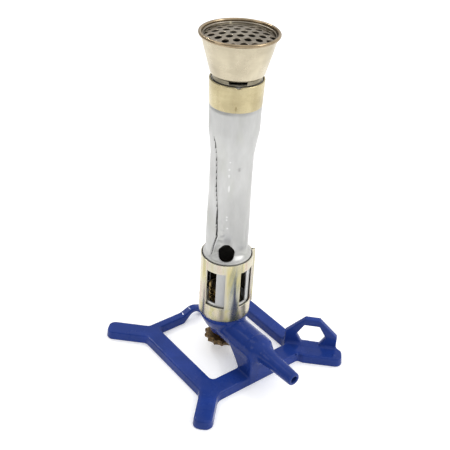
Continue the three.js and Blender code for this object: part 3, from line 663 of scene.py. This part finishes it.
def nozzle_field(x, y, z):
    along = -y
    radius = np.interp(along, [36, 41, 45, 47, 53, 72.3, 73.0], [8.0, 7.4, 6.2, 6.0, 5.2, 4.3, 3.9])
    return np.maximum(np.hypot(x, z - GAS_Z) - radius, np.abs(along - 54.5) - 18.5)


def ring_frame(x, y, z):
    """Distances along the ring's plate and through it."""
    u = (x - RING_CENTRE[0]) * math.cos(RING_ANGLE) + (y - RING_CENTRE[1]) * math.sin(RING_ANGLE)
    w = (x - RING_CENTRE[0]) * math.sin(RING_ANGLE) - (y - RING_CENTRE[1]) * math.cos(RING_ANGLE)
    return u, z, w


def ring_field(x, y, z):
    u, v, w = ring_frame(x, y, z)
    plate = polygon_2d(u, v, [(-17.7, -2), (17.7, -2), (17.7, 15.1), (5, 27.8), (-5, 27.8), (-17.7, 15.1)])
    return thick(plate, np.abs(w) - 2.25, 0.6)


def ring_hole_field(x, y, z):
    u, v, w = ring_frame(x, y, z)
    hole = polygon_2d(u, v, regular_polygon(6, 9.2, 0, (0, 14))) - 0.6
    flare = 0.35 * np.maximum(np.abs(w) - 1.2, 0)
    return np.maximum(hole - flare, np.abs(w) - 8)


# Small beads where the enamel has run: x, y, z and radius.
ENAMEL_BEADS = ((31, -43, 6.2, 0.9), (50.6, -58.2, 6.0, 0.9), (49.6, -58.9, 6.0, 0.6),
                (-2.2, -39.6, 30.6, 0.9), (-1.2, -17.3, 31.4, 0.7))


def bead_field(x, y, z):
    field = np.full(x.shape, FAR_AWAY)
    for bx, by, bz, radius in ENAMEL_BEADS:
        field = np.minimum(field, np.sqrt((x - bx) ** 2 + (y - by) ** 2 + (z - bz) ** 2) - radius)
    return field


def upright_bore(radius):
    return lambda x, y, z: np.hypot(x, y) - radius


def casting_shape():
    casting = Casting(CASTING_LOW, CASTING_HIGH, CASTING_VOXEL)
    casting.add((-64, -64, -2), (64, 62, 12), frame_field)
    casting.add((-13, -46, 8), (13, 4, 35), arm_field)
    casting.add((-12, -46, -2), (12, -2, 26), pedestal_field, 1.2)
    casting.add((-20, -20, 10), (20, 20, 35), hub_field, 1.6)
    casting.add((-12, -75, 10), (12, -32, 36), nozzle_field, 3.0)
    casting.add((20, -64, -2), (64, -16, 32), ring_field, 2.6)
    casting.cut((24, -58, 6.6), (62, -18, 30), ring_hole_field, 0.3)
    casting.add((-8, -62, 3), (54, -12, 34), bead_field, 0.5)
    casting.cut((-12, -12, 25), (12, 12, 35), upright_bore(HUB_BORE), 0.6)
    casting.cut((-9, -9, 12), (9, 9, 27), upright_bore(SPIGOT_BORE), 0.4)
    casting.cut((-5, -75, 17), (5, 1, 29), lambda x, y, z: np.hypot(x, z - GAS_Z) - GAS_BORE, 0.5)
    casting.cut(CASTING_LOW, (*CASTING_HIGH[:2], 3), lambda x, y, z: z)
    points, quads = casting.mesh()
    points[:, 2] = np.maximum(points[:, 2], 0)
    return points, quads


add_piece("cast_base", casting_shape(), ENAMEL, "burner", "base_casting", sharp=60)


# Mixing tube

PRESS_FACING = -129.3               # the pressed front panel of the tube faces this way
TUBE_WALL = 0.7
FOOT_TOP = 79.6
FRONT_PORTS = (-168.5, -88.5)
REAR_PORTS = (111.5, 31.5)
PORT_HALF = 17.5
PORT_LOW, PORT_HIGH = 46.0, 70.0
REAR_PORT_HIGH = 57.0


CREASE_DEEPEST, CREASE_DEEP = 105, 9     # where the left crease is deepest, and its reach

# Height, and how far round from the middle of the pressed panel each crease lies there.
LEFT_CREASE = ((80, 47), (97, 29), (104, 30), (115, 31), (133, 39), (150, 45), (166, 51))
RIGHT_CREASE = ((80, 58), (90, 54), (100, 50), (110, 52), (140, 62), (166, 70))


def tube_outer(theta, z):
    """Outer radius of the sheet: a round foot and neck, and between them flats pressed in by hand."""
    radius = np.interp(z, (33, FOOT_TOP - 1.2, FOOT_TOP, 82, 86, 104, 130, 150, 158, 166, 180, 181.2, 197),
                       (15.6, 15.6, 15.2, 14.3, 14.75, 14.75, 14.2, 13.5, 14.2, 15.15, 15.3, 14.6, 14.6))
    pressed = smoothstep(z, FOOT_TOP, 84) * (1 - smoothstep(z, 118, 166))
    front = angle_from(theta, PRESS_FACING)
    left = -at_height(z, LEFT_CREASE)
    right = at_height(z, RIGHT_CREASE)
    from_left = smoothstep(front, left, left + 17)
    from_right = 1 - smoothstep(front, right - 34, right + 4)
    radius = radius - 2.5 * pressed * from_left * from_right
    for centre, half, depth in ((-37, 42, 2.5), (56, 44, 2.0), (138, 34, 0.8)):
        away = np.abs(angle_from(theta, centre)) / half
        radius = radius - depth * pressed * np.cos(np.minimum(away, 1) * math.pi / 2) ** 2

    # The left crease: a pinched valley with a raised lip beside it that dies out at the neck.
    along = smoothstep(z, FOOT_TOP, 84) * (1 - smoothstep(z, 150, 168))
    beside = front - left
    radius = radius - (0.75 + 0.5 * mound(z - CREASE_DEEPEST, CREASE_DEEP)) * along * mound(beside, 1.8)
    radius = radius + 0.35 * along * mound(beside + 4.5, 2.6)
    low = smoothstep(z, FOOT_TOP, 82) * (1 - smoothstep(z, 95, 103))
    radius = radius + 0.55 * low * mound(beside - 4, 1.6)
    right_low = smoothstep(z, 84, 90) * (1 - smoothstep(z, 97, 112))
    radius = radius - 0.45 * right_low * mound(front - right + 3, 2.6)

    # The panel turns in over the opening, and the sheet beside it is dimpled.
    over = np.exp(-((front + 2) / 17) ** 4) * mound(z - 87, 8)
    radius = radius - 2.2 * over * pressed
    radius = radius - 1.1 * mound(front - 47, 13, z - 85.2, 3.4)
    radius = radius - 0.7 * mound(front + 37, 8, z - 85, 3.4)

    # Small wrinkles, the dent half way up and the uneven hand of the pressing.
    wrinkled = mound(front - left - 11, 8, z - 98, 11)
    radius = radius + 0.22 * wrinkled * np.sin(z * 1.35 + np.sin(front * 0.3) * 1.4)
    radius = radius - 1.0 * mound(front - 20.5, 3.0, z - 144.2, 0.8)
    radius = radius + 0.22 * mound(front - 31, 8, z - 144.6, 0.8)
    radius = radius - 0.7 * mound(front + 47, 2.2, z - 158, 3)
    uneven = np.sin(z * 0.11 + 0.7) * np.sin(np.radians(theta) * 3 + z * 0.03)
    uneven = uneven + 0.6 * np.sin(z * 0.23) * np.sin(np.radians(theta) * 7 + 1.3)
    return radius + 0.10 * uneven * smoothstep(z, 82, 90) * (1 - smoothstep(z, 160, 176))


def in_left_crease(radius, angle, z, outward):
    """The bottom of the left crease, painted dark as the shade that falls in it."""
    away = angle_from(angle, PRESS_FACING) + at_height(z, LEFT_CREASE)
    half = (0.95 + 1.0 * math.exp(-((z - CREASE_DEEPEST) / CREASE_DEEP) ** 2)
            + 0.2 * math.sin(z * 1.9) * math.sin(z * 0.37))
    return outward > 0 and 82 < z < 164 and abs(away) < half


def port_cells(theta, z):
    """True where the sheet is not pierced by an air port. The rear ports are lower than the front ones."""
    return (unpierced(theta, z, FRONT_PORTS, PORT_HALF, PORT_LOW, PORT_HIGH)
            & unpierced(theta, z, REAR_PORTS, PORT_HALF, PORT_LOW, REAR_PORT_HIGH))


def edge_angles(step, centres, half):
    """Evenly spaced angles, moved so that both sides of each window lie on one of them."""
    sides = [(centre + side * half + 180) % 360 - 180 for centre in centres for side in (-1, 1)]
    return grid_with(-180, 180 - step, step, sides)


def mixing_tube_shape():
    angles = edge_angles(1.5, FRONT_PORTS + REAR_PORTS, PORT_HALF)
    heights = np.concatenate([
        grid_with(33.2, FOOT_TOP - 1.4, 2.0, (PORT_LOW, REAR_PORT_HIGH, PORT_HIGH)),
        np.arange(FOOT_TOP - 1.0, 112, 0.5),
        np.arange(112, 140, 1.0), np.arange(140, 150, 0.4), np.arange(150, 182, 1.0), (186, 191, 196.6)])
    openings = ((PRESS_FACING - 2, 84.6, 26, 5.0), (PRESS_FACING + 180, 85.0, 16, 4.6))
    return sheet_tube(angles, heights, tube_outer, TUBE_WALL, port_cells, openings)


tube = add_piece("pressed_tube", mixing_tube_shape(), ZINC, "burner", "mixing_tube", sharp=50)
# The tube's inner skin is painted nearly black as shade.
repaint(tube, INSIDE_SHADE, inner_skin)
# Painted shade along the bottom of the left crease.
repaint(tube, CREASE_SHADE, in_left_crease)


# Air collar

COLLAR_LOW, COLLAR_HIGH = span("air_collar")
COLLAR_RADIUS = 16.92
SEAM_ANGLE = -20.6
WINDOWS = (-71.8, -151.8, 128.2, 48.2)
WINDOW_HALF = 22.5
WINDOW_LOW, WINDOW_HIGH = 43.8, 71.0
COLLAR_WALL = 0.6
SEAM_ROOT, SEAM_REACH = 16.4, 19.35
SEAM_LEAF = 0.45
SEAM_HALF = 0.26                    # from the middle of the seam to the middle of a leaf


def collar_outer(theta, z):
    """Outer radius of the rolled sleeve, a little out of round, with its rims eased in."""
    seam = angle_from(theta, SEAM_ANGLE)
    radius = COLLAR_RADIUS + 0.06 * np.cos(np.radians(theta) * 2 + 0.6)
    radius = radius - 0.12 * (1 - smoothstep(z, COLLAR_LOW, COLLAR_LOW + 0.8))
    radius = radius - 0.10 * smoothstep(z, COLLAR_HIGH - 0.8, COLLAR_HIGH)
    return radius - 0.25 * mound(seam, 4)


def window_cells(theta, z):
    return unpierced(theta, z, WINDOWS, WINDOW_HALF, WINDOW_LOW, WINDOW_HIGH)


def seam_leaf(offset):
    """One leaf of the standing seam: a thin upright strip that curls out of the sleeve."""
    rows, columns = 22, 7
    along = np.linspace(0, 1, columns)
    reach_out = SEAM_ROOT + (SEAM_REACH - SEAM_ROOT) * along
    side = np.sign(offset) * (abs(offset) + 1.1 * (1 - along) ** 3)
    heights = np.linspace(35.2, COLLAR_HIGH - 0.1, rows)
    turn = math.radians(SEAM_ANGLE)
    skins = []
    for shift in (-SEAM_LEAF / 2, SEAM_LEAF / 2):
        grid = []
        for z in heights:
            wave = 0.05 * math.sin(z * 0.4)
            for out, across in zip(reach_out, side):
                y = across + shift + wave
                x = min(out, SEAM_REACH - 0.02 * max(0, z - 70))
                grid.append((x * math.cos(turn) - y * math.sin(turn),
                             x * math.sin(turn) + y * math.cos(turn), z))
        skins.append(grid)
    points = skins[0] + skins[1]
    second = rows * columns
    faces = []
    for row in range(rows - 1):
        for column in range(columns - 1):
            a = row * columns + column
            b, c, d = a + 1, a + columns + 1, a + columns
            faces.append((a, b, c, d))
            faces.append((d + second, c + second, b + second, a + second))
    border = list(range(columns))
    border += [row * columns + columns - 1 for row in range(1, rows)]
    border += [(rows - 1) * columns + column for column in range(columns - 2, -1, -1)]
    border += [row * columns for row in range(rows - 2, 0, -1)]
    for here, after in zip(border, border[1:] + border[:1]):
        faces.append((after, here, here + second, after + second))
    return points, faces


def collar_shape():
    angles = edge_angles(2.5, WINDOWS, WINDOW_HALF)
    heights = grid_with(COLLAR_LOW, COLLAR_HIGH, 1.2,
                        (WINDOW_LOW, WINDOW_HIGH, COLLAR_LOW + 0.4, COLLAR_HIGH - 0.4))
    sleeve = sheet_tube(angles, heights, collar_outer, COLLAR_WALL, window_cells)
    return join_shapes(sleeve, seam_leaf(-SEAM_HALF), seam_leaf(SEAM_HALF))


sleeve = add_piece("air_sleeve", collar_shape(), PASSIVATED, "collar", "air_collar",
                   sharp=40)
# The sleeve's inner skin is painted nearly black as shade.
repaint(sleeve, INSIDE_SHADE, inner_skin)


# Head: ferrule, flared cup, grid and retaining ring

SLOT_ANGLES = (-126.3, 53.7)
SLOT_HALF = 21
SLOT_LOW, SLOT_HIGH = 197.6, 199.5
CONE_WALL = 0.5


def ferrule_shape():
    corners = [(14.75, 181.4, 0), (15.35, 181.4, 0.15), (15.5, 183.0, 0.5), (15.98, 195.6, 0.4),
               (15.98, 196.7, 0.3), (15.7, 197.0, 0.1), (15.1, 197.0, 0.1), (14.75, 195.4, 0)]
    rows = np.array(rounded_profile(corners, 3))
    side = []
    for (r0, z0), (r1, z1) in zip(rows, np.roll(rows, -1, axis=0)):
        steps = max(1, int(abs(z1 - z0) / 0.8))
        side += [(r0 + (r1 - r0) * i / steps, z0 + (z1 - z0) * i / steps) for i in range(steps)]

    def crimped(radius, height, theta):
        front = angle_from(theta, PRESS_FACING + 1)
        outside = smoothstep(radius, 15.1, 15.3)
        mark = mound(front, 1.8, height - 184.2, 2.2)
        faint = 0.10 * mound(front, 3.0)
        wave = 0.05 * np.sin(np.radians(theta) * 5) * np.sin(height * 0.5)
        return radius - outside * (0.8 * mark + faint - wave)

    points, faces = revolve(side, 240, crimped)
    points = np.array(points)
    away = np.abs(angle_from(np.degrees(np.arctan2(points[:, 1], points[:, 0])), SLOT_ANGLES[0] + 1))
    points[:, 2] -= 1.3 * np.clip(1 - away / 8, 0, 1) * (points[:, 2] > 196.3)
    return points, faces


# Height and outer radius, from the neck to the rim.
CONE_STATIONS = ((197.35, 14.5), (200.2, 14.5), (200.45, 15.6), (200.9, 15.9), (221.4, 21.5), (222.1, 21.9))


def cone_outer(theta, z):
    uneven = 0.05 * np.sin(np.radians(theta) * 3 + z * 0.1)
    return at_height(z, CONE_STATIONS) + uneven * smoothstep(z, 201, 206)


def slot_cells(theta, z):
    return unpierced(theta, z, SLOT_ANGLES, SLOT_HALF, SLOT_LOW, SLOT_HIGH)


def head_shape():
    angles = edge_angles(2.0, SLOT_ANGLES, SLOT_HALF)
    low, *bends, high = (height for height, radius in CONE_STATIONS)
    heights = grid_with(low, high, 0.9, (SLOT_LOW, SLOT_HIGH, *bends))
    cone = sheet_tube(angles, heights, cone_outer, CONE_WALL, slot_cells)
    bead = revolve(oval((21.95, 222.7), 1.0, 1.02, np.radians(np.arange(0, 360, 20))), 144)
    socket = turned([(12.4, 188, 0.2), (13.3, 188, 0.2), (13.3, 197.2, 0), (14.4, 197.35, 0),
                     (14.4, 197.6, 0), (12.4, 197.6, 0.2)], 96, steps=2)
    seat = revolve([(19.2, 218.9), (20.2, 219.1), (20.3, 219.5), (19.2, 219.5)], 96)
    return join_shapes(cone, bead, socket, seat)


add_piece("gold_ferrule", ferrule_shape(), GOLD, "burner", "head_ferrule")
cup = add_piece("flared_cup", head_shape(), NICKEL, "burner", "burner_head")
# The cup's inner skin below the grid seat is painted nearly black as shade.
repaint(cup, INSIDE_SHADE, lambda radius, angle, z, outward: outward < -0.5 and z < 219.5)
# The neck below the cone's foot is painted darker as shade.
repaint(cup, NECK_SHADE, lambda radius, angle, z, outward: outward > -0.5 and z < 200.3)
repaint(cup, RIM_BRASS, lambda radius, angle, z, outward: radius > 20.9 and z > 221.75)

GRID_LOW, GRID_HIGH = 219.6, span("grid_plate")[1]
GRID_RADIUS = 20.3
GRID_PITCH = 6.15
GRID_TURN = -28.2
GRID_FIRST_HOLE = (2.5, -0.9)
GRID_HOLE = 2.0
GRID_PIERCED = 19.6
GRID_DOME = 2.4


def clipped_circle(x, y, radius, limit):
    """A circle's outline, cut off by a larger circle about the origin where it crosses that one."""
    far, facing = math.hypot(x, y), math.atan2(y, x)
    if far + radius <= limit:
        return oval((x, y), radius, radius, np.radians(np.arange(0, 360, 15)))
    own = math.acos((limit ** 2 - far ** 2 - radius ** 2) / (2 * far * radius))
    shared = math.acos((far ** 2 + limit ** 2 - radius ** 2) / (2 * far * limit))
    inner = oval((x, y), radius, radius, facing + np.linspace(own, 2 * math.pi - own, 16))
    outer = oval((0, 0), limit, limit, facing + np.linspace(-shared, shared, 6)[1:-1])
    return inner + outer


def grid_holes():
    """The outlines of the round holes; the outer ones are cut short by the plate's plain rim."""
    row, slant = math.radians(GRID_TURN), math.radians(GRID_TURN + 60)
    holes = []
    for i in range(-6, 7):
        for j in range(-6, 7):
            x = GRID_FIRST_HOLE[0] + GRID_PITCH * (i * math.cos(row) + j * math.cos(slant))
            y = GRID_FIRST_HOLE[1] + GRID_PITCH * (i * math.sin(row) + j * math.sin(slant))
            if math.hypot(x, y) <= GRID_PIERCED + 0.8:
                holes.append(clipped_circle(x, y, GRID_HOLE, GRID_PIERCED))
    return holes


def dome(x, y):
    """How far the plate's middle stands above its flat edge."""
    return GRID_DOME * max(0.0, 1 - (math.hypot(x, y) / GRID_PIERCED) ** 2)


def grid_plate_shape():
    """The plate is a filled flat curve, thickened and with eased edges, turned into a mesh and then domed."""
    bevel = 0.28
    curve = bpy.data.curves.new("grid", "CURVE")
    curve.dimensions = "2D"
    curve.fill_mode = "BOTH"
    curve.extrude = (GRID_HIGH - GRID_LOW - GRID_DOME) / 2 - bevel
    curve.bevel_depth = bevel
    curve.bevel_resolution = 2
    curve.offset = -bevel
    rim = oval((0, 0), GRID_RADIUS, GRID_RADIUS, np.radians(np.arange(0, 360, 4)))
    for outline in [rim] + grid_holes():
        spline = curve.splines.new("POLY")
        spline.points.add(len(outline) - 1)
        for point, (x, y) in zip(spline.points, outline):
            point.co = (x, y, 0, 1)
        spline.use_cyclic_u = True
    pattern = bpy.data.objects.new("grid_pattern", curve)
    mesh = bpy.data.meshes.new_from_object(pattern)
    bpy.data.objects.remove(pattern)
    points = [tuple(vertex.co) for vertex in mesh.vertices]
    faces = [tuple(polygon.vertices) for polygon in mesh.polygons]
    bpy.data.meshes.remove(mesh)
    middle = (GRID_LOW + GRID_HIGH - GRID_DOME) / 2
    points = [(x, y, z + middle + dome(x, y)) for x, y, z in points]
    return points, faces


add_piece("pierced_grid", grid_plate_shape(), GRID_NICKEL, "burner", "grid_plate", sharp=50)


def retainer_shape():
    """A split spring ring with a rounded section."""
    split, rows = 66, 12
    low, high = span("grid_retaining_ring")
    middle = (low + high) / 2
    angles = np.radians(np.linspace(split + 2, split + 358, 120))
    section = oval((20.38, middle), 0.45, (high - low) / 2, np.linspace(0, 2 * math.pi, rows, endpoint=False))
    points = [(r * math.cos(a), r * math.sin(a), z) for a in angles for r, z in section]
    faces = []
    for step in range(len(angles) - 1):
        for row in range(rows):
            after = (row + 1) % rows
            a, b = step * rows + row, step * rows + after
            faces.append((a, a + rows, b + rows, b))
    faces.append(tuple(range(rows)))
    last = (len(angles) - 1) * rows
    faces.append(tuple(range(last + rows - 1, last - 1, -1)))
    return points, faces


add_piece("spring_ring", retainer_shape(), GRID_NICKEL, "burner", "grid_retaining_ring")


# Spigot, jet, bush and washers

def thread_shape(root, crest, pitch, low, high):
    """A screw thread between two heights, on the part of a turned shape at or beyond its root radius."""
    def shape(radius, height, theta):
        phase = (height / pitch - theta / 360) % 1
        tooth = np.clip((1 - np.abs(2 * phase - 1) - 0.18) / 0.5, 0, 1)
        run = smoothstep(height, low, low + 1.2) * (1 - smoothstep(height, high - 1.2, high))
        return np.where(radius > root - 0.02, radius + (crest - root) * tooth * run, radius)
    return shape


def spigot_shape():
    root, crest, pitch, top = 9.1, 10.55, 3.0, 53.0
    outer = [(root, z) for z in np.arange(37.3, top - 0.9, 0.2)]
    profile = [(3.1, 26.4), (7.6, 26.4), (7.6, 33.8), (9.0, 33.9)] + outer + [(root - 0.9, top), (3.1, top)]
    stem = revolve(profile, 96, thread_shape(root, crest, pitch, 38, top - 0.6))
    flange = turned([(8.0, 33.95, 0), (12.2, 33.95, 0.3), (12.5, 35, 0.4), (12.2, 37, 0.3), (8.0, 37, 0)],
                    96, hexagon(10.9, 0), steps=2)
    return join_shapes(stem, flange)


spigot = add_piece("threaded_spigot", spigot_shape(), TURNED_BRASS, "burner", "jet_spigot")
# Thread roots and top above z 45 painted very dark: painted shade inside the collar.
repaint(spigot, TARNISH_AND_SHADE, lambda radius, angle, z, outward: radius < 9.4 and z > 45)

jet_stem = revolve([(2.0, 49.5), (2.65, 49.5), (2.65, 54.1), (3.3, 54.1), (3.3, 57.5), (2.9, 58.3),
                    (1.9, 59.8), (1.0, 59.95), (0.95, 56.5), (2.0, 55.0)], 48)
jet_nut = turned([(2.9, 54.05, 0), (4.6, 54.05, 0.2), (4.75, 55, 0.2), (4.6, 56.95, 0.2), (2.9, 56.95, 0)],
                 72, hexagon(4.1, 30), steps=2)
add_piece("orifice_jet", join_shapes(jet_stem, jet_nut), TARNISH_AND_SHADE, "burner", "gas_jet")


def washer(name, inner, outer, low, high, material, node, ease=0.15, shape=None):
    """A turned ring with eased edges, fixed in the burner."""
    corners = [(inner, low, ease), (outer, low, ease), (outer, high, ease), (inner, high, ease)]
    add_piece(name, turned(corners, 96, shape), material, "burner", node)


def spanner_notched(radius, height, theta):
    """Two notches across a ring's lower edge, for a pin spanner."""
    notch = np.minimum(np.abs(angle_from(theta, 0)), np.abs(angle_from(theta, 180))) < 9
    return np.where(notch & (height < 14.2) & (radius > 5), radius - 1.2, radius)


GLAND_INNER, GLAND_OUTER = 2.75, 6.1

washer("tube_bush_ring", 10.95, 14.45, 38.0, 43.4, STEEL, "tube_bush", ease=0.4)
washer("jet_seal", 3.05, 4.4, 53.3, 53.7, COPPER, "jet_washer")
washer("spigot_seal", 8.05, 12.0, 32.7, 33.6, FIBRE, "spigot_gasket", ease=0.25)
washer("gland_sleeve", GLAND_INNER, GLAND_OUTER, 13.4, 18.6, TURNED_BRASS, "gland_nut",
       ease=0.3, shape=spanner_notched)
washer("gland_packing", GLAND_INNER, GLAND_OUTER, 18.9, 20.3, GRAPHITE, "packing_ring",
       ease=0.4)
washer("thrust_ring", GLAND_INNER, GLAND_OUTER, 20.6, 21.4, TURNED_BRASS, "thrust_washer")


# Needle valve: spindle, wheel and screw

needle = solid_turned([(0, 7.8, 0), (1.7, 7.8, 0.2), (1.75, 12.9, 0), (2.35, 13.0, 0.15), (2.35, 22, 0),
                       (2.0, 22.4, 0.1), (2.0, 40, 0), (1.55, 42, 0.2), (1.55, 49, 0.3), (0.35, 54.4, 0.2),
                       (0, 54.4, 0)], 48)
add_piece("needle_spindle", needle, TURNED_BRASS, "spindle", "valve_spindle")


WHEEL_LOBES, LOBE_SEGMENTS = 14, 14


def lobed(radius, height, theta):
    """Pointed lobes round the rim of the wheel."""
    depth = 1.55 * smoothstep(radius, 9.6, 11.4)
    return radius - depth * np.abs(np.sin(np.radians(theta) * (WHEEL_LOBES / 2))) ** 1.25


wheel = turned([(2.15, 7.6, 0), (3.75, 7.6, 0), (3.75, 7.0, 0.15), (10.6, 7.0, 0.4), (12.3, 8.3, 0.4),
                (12.35, 10.6, 0.4), (11.4, 11.5, 0.5), (9.4, 11.5, 0.2), (9.0, 11.1, 0.2), (5.3, 11.1, 0.2),
                (5.3, 11.8, 0), (2.15, 11.8, 0)], WHEEL_LOBES * LOBE_SEGMENTS, lobed)
# The wheel's brown brass is painted dark as shade under the hub.
add_piece("lobed_wheel", wheel, SHADED_BRASS, "gas_wheel", "gas_thumbwheel")
boss = turned([(2.15, 11.85, 0), (5.25, 11.85, 0.1), (5.25, 12.2, 0.2), (4.85, 12.6, 0.2),
               (2.15, 12.6, 0)], 72)
add_piece("wheel_boss", boss, BOSS_BRASS, "gas_wheel", None)


def screw_head_shape():
    """A slotted cheese head with its slot across the underside."""
    low, high = (-4, -4, 4.8), (4, 4, 7.7)
    head = Casting(low, high, SCREW_VOXEL)

    def body(x, y, z):
        return thick(np.hypot(x, y) - 3.35, np.abs(z - 6.2) - 0.98, 0.35)

    def slot(x, y, z):
        return np.maximum(np.abs(y) - 0.42, z - 6.0)

    head.add(low, high, body)
    head.cut(low, high, slot, 0.12)
    return head.mesh()


add_piece("slotted_screw", screw_head_shape(), STEEL, "gas_wheel", "thumbwheel_screw", sharp=40)


# Floor, light and camera

FLOOR = bpy.data.materials.new("floor")
FLOOR.use_nodes = True
floor_shader = FLOOR.node_tree.nodes["Principled BSDF"]
floor_shader.inputs["Base Color"].default_value = (0.93, 0.93, 0.93, 1)
floor_shader.inputs["Emission Color"].default_value = (1, 1, 1, 1)
floor_shader.inputs["Emission Strength"].default_value = 0.22
mesh = bpy.data.meshes.new("floor")
mesh.from_pydata([(-3, -3, 0), (3, -3, 0), (3, 3, 0), (-3, 3, 0)], [], [(0, 1, 2, 3)])
mesh.materials.append(FLOOR)
floor = add_object("floor", mesh)


def camera_matrix():
    azimuth, elevation, roll = (math.radians(v) for v in (VIEW_AZIMUTH, VIEW_ELEVATION, VIEW_ROLL))
    back = Vector((math.sin(azimuth) * math.cos(elevation), -math.cos(azimuth) * math.cos(elevation),
                   math.sin(elevation)))
    level = Vector((math.cos(azimuth), math.sin(azimuth), 0))
    upright = back.cross(level)
    right = math.cos(roll) * level + math.sin(roll) * upright
    up = -math.sin(roll) * level + math.cos(roll) * upright
    target = (Vector(VIEW_TARGET) + Vector((AXIS_X, AXIS_Y, 0))) * MM
    matrix = Matrix((right, up, back)).transposed().to_4x4()
    matrix.translation = target + back * VIEW_DISTANCE * MM
    return matrix


lens = bpy.data.cameras.new("camera")
lens.lens = VIEW_LENS
lens.sensor_width = 36
camera = add_object("camera", lens)
camera.matrix_world = camera_matrix()
bpy.context.scene.camera = camera


BURNER_MIDDLE = Vector((0, 0, 0.1))


def soft_light(name, place, size, watts):
    """A square area light aimed at the burner's middle."""
    light = bpy.data.lights.new(name, "AREA")
    light.shape = "SQUARE"
    light.size = size
    light.energy = watts
    lamp = add_object(name, light)
    lamp.location = place
    lamp.rotation_euler = (BURNER_MIDDLE - Vector(place)).to_track_quat("-Z", "Y").to_euler()


soft_light("key", (0.75, -0.95, 1.3), 0.7, 6.5)
soft_light("fill", (-1.2, 0.2, 0.8), 0.5, 2)
soft_light("back", (-0.3, 0.9, 1.5), 0.9, 4)
soft_light("glint", (0.05, 1.15, 1.35), 0.12, 3.0)


def studio_world():
    """A white surround that lights from the right and above, and is darker on the left."""
    world = bpy.data.worlds.new("studio")
    world.use_nodes = True
    nodes, links = world.node_tree.nodes, world.node_tree.links
    place = nodes.new("ShaderNodeTexCoord").outputs["Generated"]
    facing = nodes.new("ShaderNodeVectorMath")
    facing.operation = "DOT_PRODUCT"
    facing.inputs[1].default_value = (0.55, -0.3, 0.78)
    links.new(place, facing.inputs[0])
    spread = nodes.new("ShaderNodeMapRange")
    for name, number in (("From Min", -0.55), ("From Max", 0.85), ("To Min", 0.1), ("To Max", 1.15)):
        spread.inputs[name].default_value = number
    links.new(facing.outputs["Value"], spread.inputs["Value"])
    seen = nodes.new("ShaderNodeLightPath").outputs["Is Camera Ray"]
    strength = nodes.new("ShaderNodeMath")
    strength.operation = "MAXIMUM"
    links.new(spread.outputs["Result"], strength.inputs[0])
    links.new(seen, strength.inputs[1])
    links.new(strength.outputs["Value"], nodes["Background"].inputs["Strength"])
    nodes["Background"].inputs["Color"].default_value = (1, 1, 1, 1)
    return world


bpy.context.scene.world = studio_world()
bpy.context.scene.view_settings.view_transform = "Standard"
